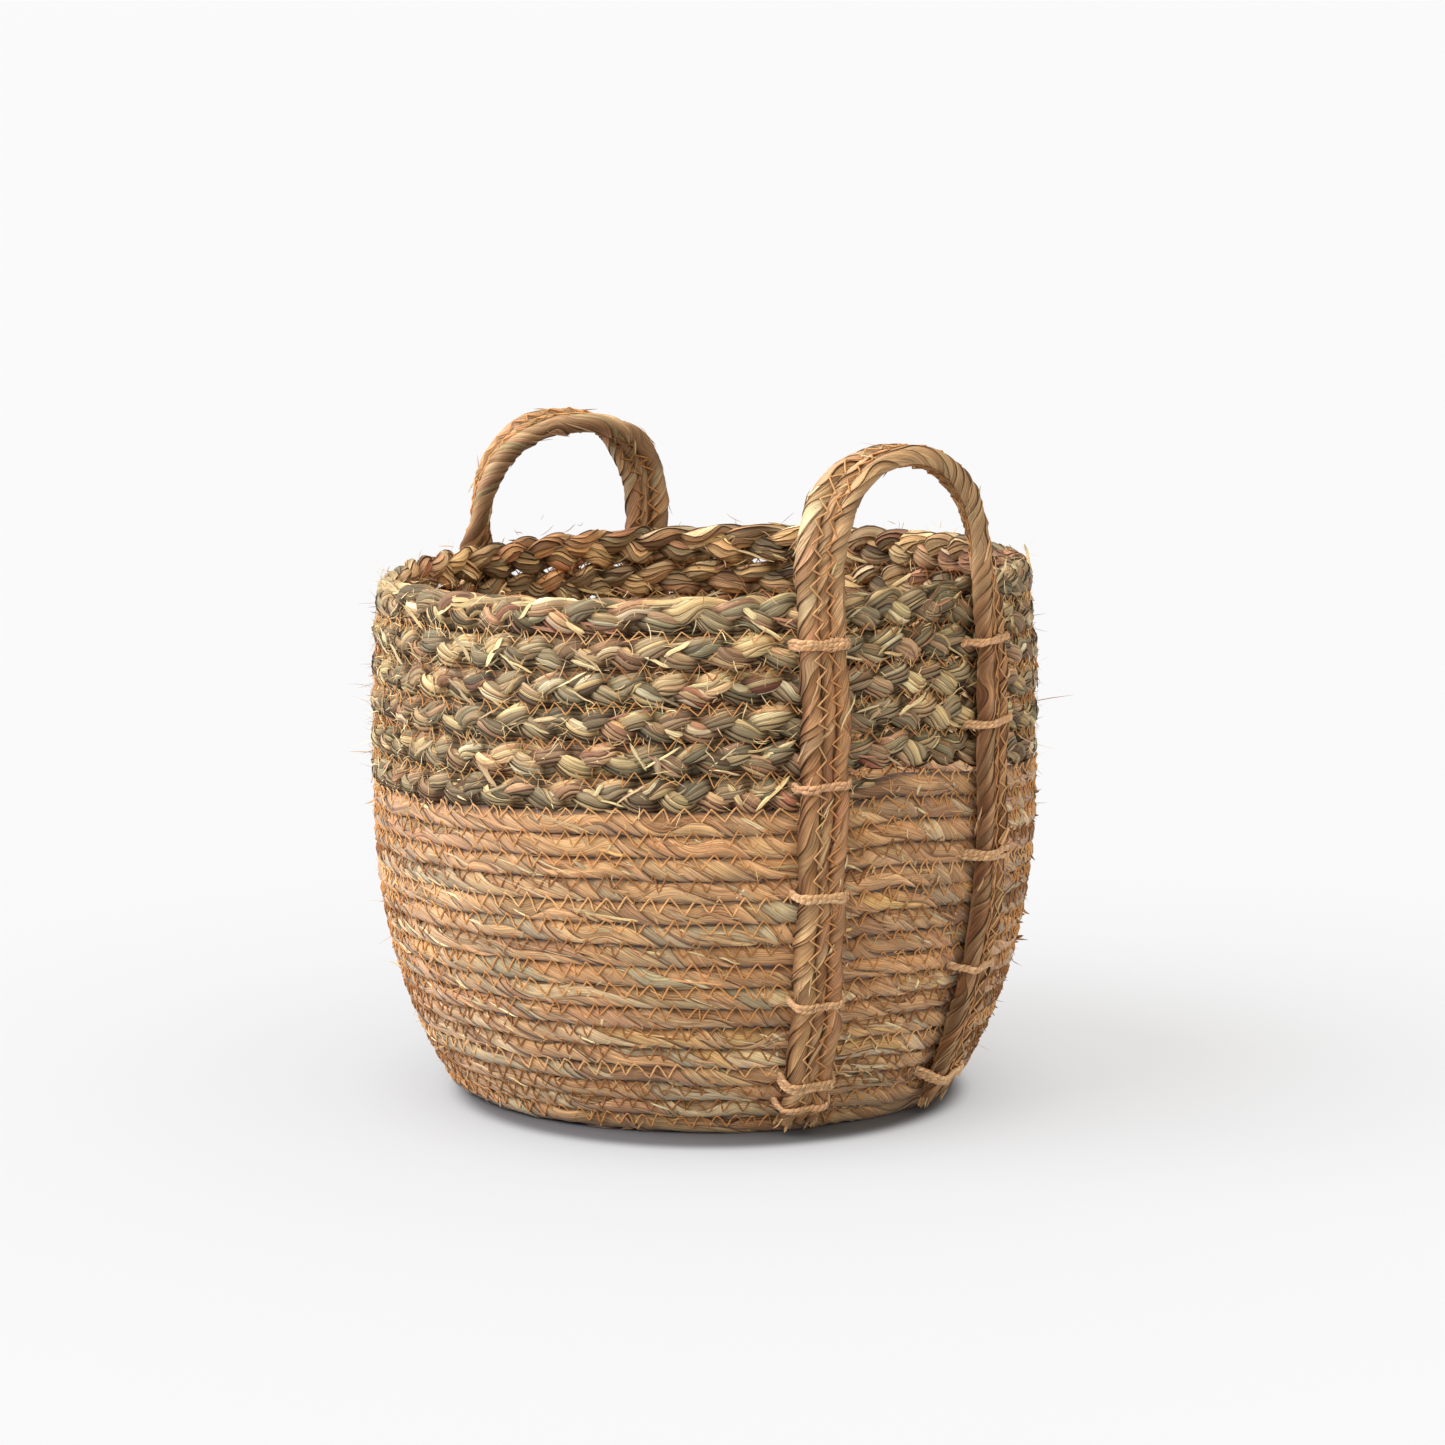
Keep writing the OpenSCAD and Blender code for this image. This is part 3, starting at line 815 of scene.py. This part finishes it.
# Half the thickness of a strap in the CAD
STRAP_HALF = 3.9
LEG_STAND = ROW_HALF + 0.3 + STRAP_HALF
HINGE_Z = RIM_Z + 4.0
hinge_r = float(wall_radius(HINGE_Z)) + LEG_STAND - 0.8
HINGE_X = hinge_r * math.cos(LEG_ANGLE)
HINGE_Y = hinge_r * math.sin(LEG_ANGLE)
ARCH_LEAN = math.radians(3.0)
ARCH_SQUARE = 2.3
REAR_TURN = math.radians(172)
ARCH_UP = np.array([-math.sin(ARCH_LEAN), 0, math.cos(ARCH_LEAN)])
ARCH_OUT = np.array([math.cos(ARCH_LEAN), 0, math.sin(ARCH_LEAN)])
LEG_FOOT = 11.0
# How far a strap's face is rolled from facing out of the wall to facing out of its arch: (place,
# degrees). The arch goes from 0 to 1, and 0.1 is one centimetre of a leg
FRONT_ROLL = [(-0.3, 17.2), (0.06, 24), (0.2, 46), (0.34, 72), (0.5, 96), (0.62, 88), (0.75, 72), (0.9, 59),
              (1.0, 51), (1.1, 38), (1.2, 29)]
REAR_ROLL = [(-0.1, 17.2), (0.0, 16), (0.12, 18), (0.22, 40), (0.34, 82), (0.5, 102), (0.68, 102), (0.84, 84),
             (1.0, 60), (1.12, 30), (1.25, 17.2)]


def softened(values):
    """Points or directions one millimetre apart along a path, averaged with their neighbours."""
    reach = 14
    kernel = np.exp(-0.5 * (np.arange(-reach, reach + 1) / 4.5) ** 2)
    kernel = kernel / kernel.sum()
    before = 2 * values[:1] - values[reach:0:-1]
    after = 2 * values[-1:] - values[-2:-2 - reach:-1]
    padded = np.concatenate([before, values, after])
    return np.stack([np.convolve(padded[:, k], kernel, "valid") for k in range(3)], -1)


def strap_line(height, roll_table):
    """Middle line of a strap at the front, with the directions across it and out of its face."""
    z = np.linspace(LEG_FOOT, RIM_Z - 6, 160)
    lean = wall_lean(z)
    r = wall_radius(z) + LEG_STAND * np.cos(lean)
    below = (HINGE_Z - z) / 100
    legs = []
    for side, q in ((-1, -below), (1, 1 + below)):
        turn = side * LEG_ANGLE
        point = np.stack([r * math.cos(turn), r * math.sin(turn), z - LEG_STAND * np.sin(lean)], -1)
        legs.append((point, np.full_like(point, (0.0, -side, 0.0)), np.full_like(point, (1.0, 0.0, 0.0)), q))
    u = np.linspace(0, 1, 240)
    c, s = np.cos(math.pi * u), np.sin(math.pi * u)
    e = 2 / ARCH_SQUARE
    arch = np.stack([0 * u + HINGE_X, -HINGE_Y * np.sign(c) * np.abs(c) ** e, 0 * u + HINGE_Z], -1)
    arch = arch + height * (np.abs(s) ** e)[:, None] * ARCH_UP
    inside = unit(np.cross(unit(np.gradient(arch, axis=0)), ARCH_OUT))
    top = (arch, inside, np.full_like(arch, ARCH_OUT), u)
    point, inside, out, q = (np.concatenate([a, b, c[::-1]]) for a, b, c in zip(legs[0], top, legs[1]))
    length = run_along(point)
    s = np.arange(0, length[-1], 1.0)
    table = np.array(roll_table)
    roll = np.radians(np.interp(np.interp(s, length, q), table[:, 0], table[:, 1]))
    middle = softened(points_at(s, length, point))
    inside, out = (unit(softened(points_at(s, length, v))) for v in (inside, out))
    t = unit(np.gradient(middle, axis=0))
    _, face = rotated(inside, out, roll)
    face = unit(face - (face * t).sum(-1, keepdims=True) * t)
    return s, middle, np.cross(t, face), face


def turned(points, angle):
    """Points or directions turned about the upright axis."""
    c, s = math.cos(angle), math.sin(angle)
    x, y = points[..., 0], points[..., 1]
    return np.stack([c * x - s * y, s * x + c * y, points[..., 2]], -1)


# Each cord of a strap: (name, place across the strap, radius)
CORDS = [("outer", -6.3, 4.1), ("middle", 0.0, 2.95), ("inner", 5.8, 3.5)]
CORD_TWIST = 37
# Each lacing: (from and to across the strap, how far it stands out at each)
LACING = [(-5.4, -0.6, 4.75, 3.6), (0.6, 5.1, 3.6, 4.2)]
LACE_PITCH = 9.0
# Painted shade where a cord lies against the next one: how much each of red, green and blue darkens there
CORD_GROOVE_SHADE = np.array([0.52, 0.6, 0.66])
# How much of that is missing at the top, where light reaches between the cords
ARCH_EASE = {"front": 0.85, "rear": 0.35}
# Colour of the legs and of each arch, as a share of the palette; the arches are lighter than the legs,
# painted light from above
LEG_TONE = np.array([0.67, 0.60, 0.54])
LIT_ARCH_TONE = {"front": np.array([0.81, 0.88, 0.90]), "rear": np.array([0.79, 0.87, 0.92])}
# Ties of each leg: (seam from the floor, rise above that seam)
LEFT_TIES = [(2, 1.5), (3, 3.5), (7, 3.0), (12, 2.5), (17, -4.5), (21, -4.5)]
RIGHT_TIES = [(3, -3.0), (8, 0.0), (13, 1.5), (18, 0.0), (20, 4.5)]
# The way a tie takes over a strap: (across, out)
TIE_OUTLINE = np.array([
    (-12.0, -8.5), (-11.6, -4.5), (-11.3, -0.5), (-10.2, 3.3), (-7.4, 5.05), (-4.4, 4.9), (-2.6, 4.3),
    (0.0, 4.0), (2.6, 4.1), (4.4, 4.4), (6.7, 4.5), (9.2, 2.9), (10.3, -0.5), (10.7, -4.5), (11.4, -8.5),
])
TWINE_PITCH = 1.35


def shreds(weave, rng, path, face, across, half, count):
    """Torn fibres that lie along a cord's twist and lift at one end."""
    at = rng.integers(10, len(path) - 10, count)
    angle = rng.uniform(0, FULL, count)
    ahead = unit(np.gradient(path, axis=0))
    out, _ = rotated(face[at], across[at], angle)
    slope = np.radians(rng.normal(-66, 9, count))
    loose(weave, rng, (path[at], out, ahead[at]), slope, half[at] + 0.35,
          *blades(rng, count, (6, 20), (0.35, 1.1), (1.2, 0.7), (0, 0.8)), CORD + STRAW[:2])


def frays(weave, rng, path, face, across, half):
    """Cut leaf ends that stand out of both feet of a cord."""
    count = 16
    ahead = unit(np.gradient(path, axis=0))
    for end, down in ((2, -1), (len(path) - 3, 1)):
        angle = rng.uniform(0, FULL, count)
        out, _ = rotated(face[end], across[end], angle)
        up = np.broadcast_to(down * ahead[end], out.shape)
        slope = np.radians(rng.normal(90, 14, count))
        loose(weave, rng, (path[end] + 1.5 * up, out, up), slope, half[end] * rng.uniform(0.3, 0.95, count),
              *blades(rng, count, (5, 9), (0.5, 1.5), (1.0, 0.6), (0, 1.0)), CORD + STRAW[:2])


def broken_strip(weave, rng, point):
    """A few stiff leaf ends that stand up where one leaf of the strap has broken."""
    count = 4
    out = np.broadcast_to(view_dir, (count, 3))
    up = np.broadcast_to(TOP, (count, 3))
    origin = point + rng.normal(0, 0.8, (count, 3))
    slope = np.radians(rng.normal(84, 7, count))
    loose(weave, rng, (origin, out, up), slope, np.full(count, 0.6), rng.uniform(13, 20, count),
          rng.uniform(1.6, 3.2, count), rng.uniform(0, 1, count), rng.normal(0, 1.0, count),
          CORD[4:] + STRAW[3:4], stations=8, across=3)


def hinged_piece(weave, side, part, material, nodes):
    """Makes the mesh a piece of a handle, with its place baked into the mesh, that stands for some nodes."""
    piece = weave.mesh(f"{side}_{part}", material)
    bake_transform(piece)
    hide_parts(*(f"{side}_{node}" for node in nodes))


def build_cord(side, name, offset, radius, s, middle, across, face):
    """One cord of a strap from foot to foot, with its torn fibres."""
    rng = seeded(side + name)
    path = middle + (offset + 0.35 * wander(rng, s, 50))[:, None] * across
    path = path + (0.3 * wander(rng, s, 60))[:, None] * face
    half = radius * (1 + 0.06 * wander(rng, s, 40))
    ends = 0.75 + 0.25 * smooth(np.minimum(s, s[-1] - s) / 5)
    arch_part = smooth((path[:, 2] - RIM_Z + 30) / 60)[:, None, None]
    # Painted shade between the cords, with less of it up the arch
    co, tone, grain = wrapped(
        rng, s, path, face, across, half * 0.95 * ends, half * 0.97 * ends, square=2.0, leaves=5,
        lengths=(50, 170), palette=CORD, twist=FULL * s / CORD_TWIST + 1.1 * wander(rng, s, 80),
        lift=0.85, crown=0.14, tip=14, uneven=0.7,
        groove_shade=CORD_GROOVE_SHADE * (1 - ARCH_EASE[side] * arch_part[..., None]),
    )
    # Painted light: the cords grow lighter from the legs up into the arch
    tone = tone * (LEG_TONE + (LIT_ARCH_TONE[side] - LEG_TONE) * arch_part)
    weave = Weave()
    add_rope(weave, co, tone, grain)
    shreds(weave, rng, path, face, across, half, 70)
    if name != "middle":
        frays(weave, rng, path, face, across, half)
    if (side, name) == ("rear", "outer"):
        broken_strip(weave, rng, path[int(0.405 * len(s))])
    cord = name + "_cord"
    hinged_piece(weave, side, cord, cord_mat, [cord + "_legs", cord + "_arch"])


def build_lacing(side, s, middle, across, face, spread):
    """The thread that zigzags over both faces of a strap and holds its cords together."""
    rng = seeded(side + "lacing")
    weave = Weave()
    for low, high, low_proud, high_proud in LACING:
        knots = np.arange(6, s[-1] - 6, LACE_PITCH)
        knots = knots + rng.uniform(-1.6, 1.6, len(knots))
        corner_s = np.repeat(knots, 2) + np.tile([0, LACE_PITCH / 2], len(knots))
        corner_a = np.tile([low, high], len(knots)) + rng.uniform(-0.5, 0.5, 2 * len(knots))
        _, at, a = through_corners(corner_s, corner_a, 5)
        centre, sideways, out = (points_at(at, s, v) for v in (middle, across, face))
        proud = np.interp(a, (low, high), (low_proud, high_proud))
        a = a * np.interp(at, s, spread)
        for sign in (1, -1):
            path = centre + a[:, None] * sideways + (sign * proud)[:, None] * out
            add_tube(weave, path, LACE_THREAD, out, 4, pick(rng, THREAD, 1))
    hinged_piece(weave, side, "lacing", lace_mat, ["leg_lacing", "arch_lacing"])


def build_ties(side, where, stations, middle, across, face):
    """The loops of twine over one leg of a strap, each of two or three strands side by side."""
    rng = seeded(side + where + "tie")
    weave = Weave()
    length = run_along(TIE_OUTLINE)
    fine = np.arange(0, length[-1], 0.8)
    a, f = (np.interp(fine, length, TIE_OUTLINE[:, k]) for k in (0, 1))
    for index in stations:
        t = unit(middle[index + 1] - middle[index - 1])
        tilt = rng.uniform(-0.03, 0.09)
        count = rng.choice([2, 3], p=[0.45, 0.55])
        for j in range(count):
            rise = (j - (count - 1) / 2) * TWINE_PITCH + tilt * a + 0.35 * wander(rng, fine, 14)
            rise = rise + rng.uniform(-0.3, 0.3) + rng.uniform(-0.05, 0.05) * a
            stand = f + rng.uniform(-0.1, 0.35) + 0.2 * wander(rng, fine, 9)
            path = middle[index] + a[:, None] * across[index] + stand[:, None] * face[index]
            path = path + rise[:, None] * t
            ahead = unit(np.gradient(path, axis=0))
            x = unit(np.cross(ahead, t))
            y = np.cross(x, ahead)
            co, tone, grain = wrapped(
                rng, fine, path, x, y, 0.84 + 0.1 * wander(rng, fine, 6), 0.82 + 0 * fine, square=2.0,
                leaves=2, lengths=(300, 400), palette=TWINE, twist=FULL * fine / 4.6, lift=0.25, crown=0.2,
                tip=5,
            )
            weave.grid(co[None], tone[None], grain[None], closed=True)
            hairs = 30
            at = rng.integers(2, len(fine) - 2, hairs)
            loose(weave, rng, (path[at], x[at], np.broadcast_to(t, (hairs, 3))),
                  rng.uniform(0, FULL, hairs), rng.uniform(0.4, 0.9, hairs),
                  *blades(rng, hairs, (1.6, 5.0), (0.12, 0.28), (1.2, 0.9), (0, 1.0)), TWINE)
    fixed_piece(weave, f"{side}_{where}_twine_ties", twine_mat, [f"{side}_{where}_ties"])


def build_handle(side, turn_angle, roll_table):
    """One strap handle: its cords, the lacing between them and the ties over its legs."""
    height = box_mm(side + "_middle_cord_arch")[1][2] - STRAP_HALF - HINGE_Z
    s, middle, across, face = strap_line(height, roll_table)
    middle, across, face = (turned(v, turn_angle) for v in (middle, across, face))
    on_leg = smooth((RIM_Z - 8 - middle[:, 2]) / 25)
    middle = middle + (1.0 * on_leg * wander(seeded(side + "strap"), s, 75))[:, None] * across
    apex = len(s) // 2
    tie_at = {"left": [], "right": []}
    halves = {"left": (LEFT_TIES, slice(0, apex)), "right": (RIGHT_TIES, slice(apex, len(s)))}
    for where, (ties, half) in halves.items():
        for seam, rise in ties:
            level = seam_z[seam] + rise
            level = level - LEG_STAND * math.sin(float(wall_lean(level)))
            tie_at[where].append(int(np.argmin(np.abs(middle[half, 2] - level))) + half.start)
    pinch = sum(np.exp(-(((s - s[k]) / 8) ** 2)) for k in tie_at["left"] + tie_at["right"])
    spread = 1 + on_leg * (0.08 - 0.17 * np.minimum(pinch, 1))
    for name, offset, radius in CORDS:
        build_cord(side, name, offset * spread, radius, s, middle, across, face)
    build_lacing(side, s, middle, across, face, spread)
    for where, stations in tie_at.items():
        build_ties(side, where, stations, middle, across, face)


build_handle("front", 0.0, FRONT_ROLL)
build_handle("rear", REAR_TURN, REAR_ROLL)


# ---- Loose straws and fine fibres ----

# One over the diameter of the wall, which bends a strip round it
WALL_BEND = 1 / 280


def on_plait(turn, offset):
    """Middle of the plait and its directions, offset millimetres up from the middle of a turn."""
    z, _ = plait_middle_z(np.clip(turn, 0.0, PLAIT_TURNS))
    return wall_at(turn, z + offset)


def on_husk(turn, offset):
    """Middle of the husk rope and its directions, offset millimetres up from the middle of a turn."""
    _, centre, out, up = rope_middle(turn)
    return centre + offset[:, None] * up, out, up


def husk_face(offset):
    """How far the face of the husk rope stands from its middle, at an offset up from it."""
    return HUSK_OUT * np.clip(1 - np.abs(offset / HUSK_UP) ** 2.7, 0.15, 1) ** (1 / 2.7)


def straws():
    """Blades that have worked loose from the plait, lying along its strands."""
    rng = seeded("straws")
    weave = Weave()
    for face, count in ((1, 240), (-1, 220)):
        turn = rng.uniform(0.02, PLAIT_TURNS - 0.05, count)
        offset = rng.choice([-1, 1], count) * rng.uniform(1.0, 5.2, count)
        slope = -np.sign(offset) * np.radians(rng.normal(25, 9, count) - 3.0 * (np.abs(offset) - 3))
        stand = 5.2 - 0.16 * np.abs(offset) + rng.uniform(-0.3, 0.4, count)
        loose(weave, rng, on_plait(turn, offset), slope, stand,
              *blades(rng, count, (9, 21), (0.8, 1.9), (1.1, 0.6), (0, 1.0)), STRAW,
              face, stations=8, across=3, curve=WALL_BEND)
    count = 34
    turn = rng.uniform(0.05, PLAIT_TURNS - 0.1, count)
    place = on_plait(turn, rng.normal(0, 3.6, count))
    slope = np.radians(rng.uniform(-80, 80, count))
    loose(weave, rng, place, slope, rng.uniform(4.9, 5.5, count),
          *blades(rng, count, (7, 15), (1.6, 3.0), (1.2, 0.8), (0, 0.6)), STRAW[:4], stations=8, across=3)
    count = 34
    turn = rng.uniform(PLAIT_ROWS - 1.0, PLAIT_TURNS - 0.08, count)
    place = on_plait(turn, rng.uniform(4.6, 6.6, count))
    slope = np.radians(rng.normal(-5, 5, count))
    loose(weave, rng, place, slope, rng.uniform(2.6, 4.4, count),
          *blades(rng, count, (18, 40), (1.3, 2.3), (1.0, 0.4), (-1.5, 0.8)), STRAW[:3],
          stations=12, across=3, curve=WALL_BEND)
    fixed_piece(weave, "plait_loose_straws", plait_mat)


def husk_strips():
    """Narrow torn leaves that lie on the husk rope, along its windings."""
    rng = seeded("strips")
    weave = Weave()
    for face, count in ((1, 1500), (-1, 700)):
        turn = rng.uniform(0.3, HUSK_ROWS, count)
        offset = rng.uniform(-2.4, 2.4, count)
        slope = np.radians(np.abs(rng.normal(17, 8, count)) + 3)
        length = np.minimum(rng.uniform(9, 40, count), (7.4 - 2 * np.abs(offset)) / np.sin(slope))
        stand = husk_face(offset) + rng.uniform(0.35, 0.75, count)
        loose(weave, rng, on_husk(turn, offset), slope, stand, length, rng.uniform(0.5, 1.7, count),
              rng.gamma(1.0, 0.35, count), rng.normal(0, 0.6, count), HUSK + STRAW[:2],
              face, stations=7, across=3, curve=WALL_BEND)
    count = 3600
    turn = rng.uniform(0.1, HUSK_ROWS, count)
    around = degrees_round(JOIN - FULL * turn)
    turn = turn[rng.random(count) < 0.25 + 0.75 * np.exp(-(((around - 66) / 34) ** 2))]
    count = len(turn)
    offset = rng.uniform(-3.6, 3.6, count)
    stand = husk_face(offset) + rng.uniform(0.2, 0.7, count)
    loose(weave, rng, on_husk(turn, offset), rng.uniform(-1.3, 1.3, count), stand,
          *blades(rng, count, (2.2, 6.5), (0.5, 1.5), (1.2, 0.6), (0, 0.8)), HUSK + STRAW[:2],
          stations=5, across=3)
    fixed_piece(weave, "husk_leaf_strips", husk_mat)


def fuzz():
    """Fine fibres, thickest on the plait at the camera's left."""
    rng = seeded("fuzz")
    weave = Weave()
    for face, count in ((1, 6500), (-1, 1300)):
        turn = rng.uniform(0.0, PLAIT_TURNS - 0.03, count)
        around = degrees_round(JOIN - FULL * turn)
        turn = turn[rng.random(count) < 0.35 + 0.65 * np.exp(-(((around + 78) / 38) ** 2))]
        count = len(turn)
        seams = np.where(rng.random(count) < 0.6, 7.15 * rng.choice([-1, 1], count), 0)
        offset = seams + rng.normal(0, 2.4, count)
        loose(weave, rng, on_plait(turn, offset), rng.uniform(0, FULL, count), rng.uniform(3.6, 5.6, count),
              *blades(rng, count, (3, 9), (0.16, 0.4), (1.3, 1.5), (0, 2.2)), FUZZ + STRAW[:3],
              face, stations=5)
    fixed_piece(weave, "plait_fibres", hair_mat)
    weave = Weave()
    for face, count in ((1, 2600), (-1, 900)):
        turn = rng.uniform(0.1, HUSK_ROWS, count)
        seams = np.where(rng.random(count) < 0.7, 4.4 * rng.choice([-1, 1], count), 0)
        offset = seams + rng.normal(0, 1.2, count)
        loose(weave, rng, on_husk(turn, offset), rng.uniform(0, FULL, count), rng.uniform(3.9, 5.2, count),
              *blades(rng, count, (2.5, 8), (0.14, 0.34), (1.1, 1.0), (0, 1.3)), FUZZ, face, stations=5)
    fixed_piece(weave, "husk_fibres", hair_mat)


straws()
husk_strips()
fuzz()


# ---- Floor, light and camera ----

# A floor that glows, painted light, and dims towards the basket in a painted shadow, as under a large soft
# source: (metres beyond the base, share)
foot = (float(wall_radius(husk_z[0])) + ROW_HALF) * MM
GLOW_AND_SHADOW = [(-foot, 0.0), (-0.010, 0.0), (-0.004, 0.34), (0.0, 0.57), (0.004, 0.65), (0.010, 0.69),
        (0.02, 0.735), (0.04, 0.79), (0.07, 0.825), (0.12, 0.85), (0.2, 0.88), (0.4, 0.9), (0.7, 0.9)]
glow_end = foot + GLOW_AND_SHADOW[-1][0]
# The middle of the glow and its painted shadow, in metres to the camera's right and towards the camera
GLOW_RIGHT, GLOW_NEAR = 0.002, 0.026
floor_mat = bpy.data.materials.new("studio_floor")
floor_mat.use_nodes = True
floor_tree = floor_mat.node_tree
position = add_node(floor_tree, "NewGeometry", {}).outputs["Position"]
glow_middle = GLOW_RIGHT * view_right + GLOW_NEAR * view_dir
distance = add_node(floor_tree, "VectorMath", {0: position, 1: glow_middle}, operation="DISTANCE")
reach = add_node(floor_tree, "MapRange", {"Value": distance.outputs["Value"], "From Max": glow_end})
glow = add_node(floor_tree, "ValToRGB", {0: reach.outputs[0]})
glow.color_ramp.interpolation = "CARDINAL"
while len(glow.color_ramp.elements) < len(GLOW_AND_SHADOW):
    glow.color_ramp.elements.new(0.5)
for element, (beyond, share) in zip(glow.color_ramp.elements, GLOW_AND_SHADOW):
    element.position = (foot + beyond) / glow_end
    element.color = (share, share, share, 1)
# The floor's own glow, painted light, dimmed near the basket by the painted shadow above
floor_shader = floor_tree.nodes["Principled BSDF"]
for name, value in (("Base Color", (0.128, 0.13, 0.14, 1)), ("Roughness", 0.9), ("Specular IOR Level", 0.1),
                    ("Emission Strength", 0.79)):
    floor_shader.inputs[name].default_value = value
floor_tree.links.new(glow.outputs[0], floor_shader.inputs["Emission Color"])
bpy.ops.mesh.primitive_plane_add(size=400)
floor = bpy.context.active_object
floor.name = "floor"
floor.data.materials.append(floor_mat)

world = bpy.data.worlds.new("studio")
bpy.context.scene.world = world
world.use_nodes = True
world_tree = world.node_tree
# The camera sees the backdrop as bright as the floor, and the basket gets a weaker and warmer light.
camera_ray = add_node(world_tree, "LightPath", {}).outputs["Is Camera Ray"]
level = add_node(world_tree, "MapRange", {"To Min": 0.38, "To Max": 0.95, "Value": camera_ray})
hue = add_node(world_tree, "ValToRGB", {0: camera_ray})
hue.color_ramp.elements[0].color = (1.0, 0.92, 0.8, 1)
hue.color_ramp.elements[1].color = (1, 1, 1, 1)
background = world_tree.nodes["Background"]
world_tree.links.new(level.outputs[0], background.inputs["Strength"])
world_tree.links.new(hue.outputs[0], background.inputs["Color"])


def soft_light(name, strength, right, near, up, spread, colour):
    """A large soft light from a direction given to the camera's right, towards the camera and up."""
    light = bpy.data.lights.new(name, "SUN")
    light.energy = strength
    light.color = colour
    light.angle = math.radians(spread)
    ob = bpy.data.objects.new(name, light)
    bpy.context.scene.collection.objects.link(ob)
    direction = Vector(right * view_right + near * view_dir + up * TOP)
    ob.rotation_euler = direction.to_track_quat("Z", "Y").to_euler()


soft_light("key", 4.35, -0.96, 0.27, 0.9, 60, (1.0, 1.0, 1.03))
soft_light("overhead", 1.35, 0.0, 0.5, 1.0, 90, (1.0, 0.94, 0.84))
soft_light("fill", 0.9, 0.85, 0.6, 0.5, 120, (1.0, 0.93, 0.82))

# The camera's place in metres from the middle of the base, its tilt down and its lens in millimetres
CAMERA_NEAR, CAMERA_RIGHT, CAMERA_UP = 1.949, 0.0077, 0.475
PITCH = math.radians(9.29)
FOCAL = 112.5
camera_data = bpy.data.cameras.new("camera")
camera_data.lens = FOCAL
camera_data.sensor_width = 36
camera_data.clip_end = 1000
camera = bpy.data.objects.new("camera", camera_data)
bpy.context.scene.collection.objects.link(camera)
camera.location = Vector(CAMERA_NEAR * view_dir + CAMERA_RIGHT * view_right + CAMERA_UP * TOP)
look = -view_dir * math.cos(PITCH) - TOP * math.sin(PITCH)
camera.rotation_euler = Vector(look).to_track_quat("-Z", "Y").to_euler()
bpy.context.scene.camera = camera
bpy.context.scene.view_settings.view_transform = "Standard"
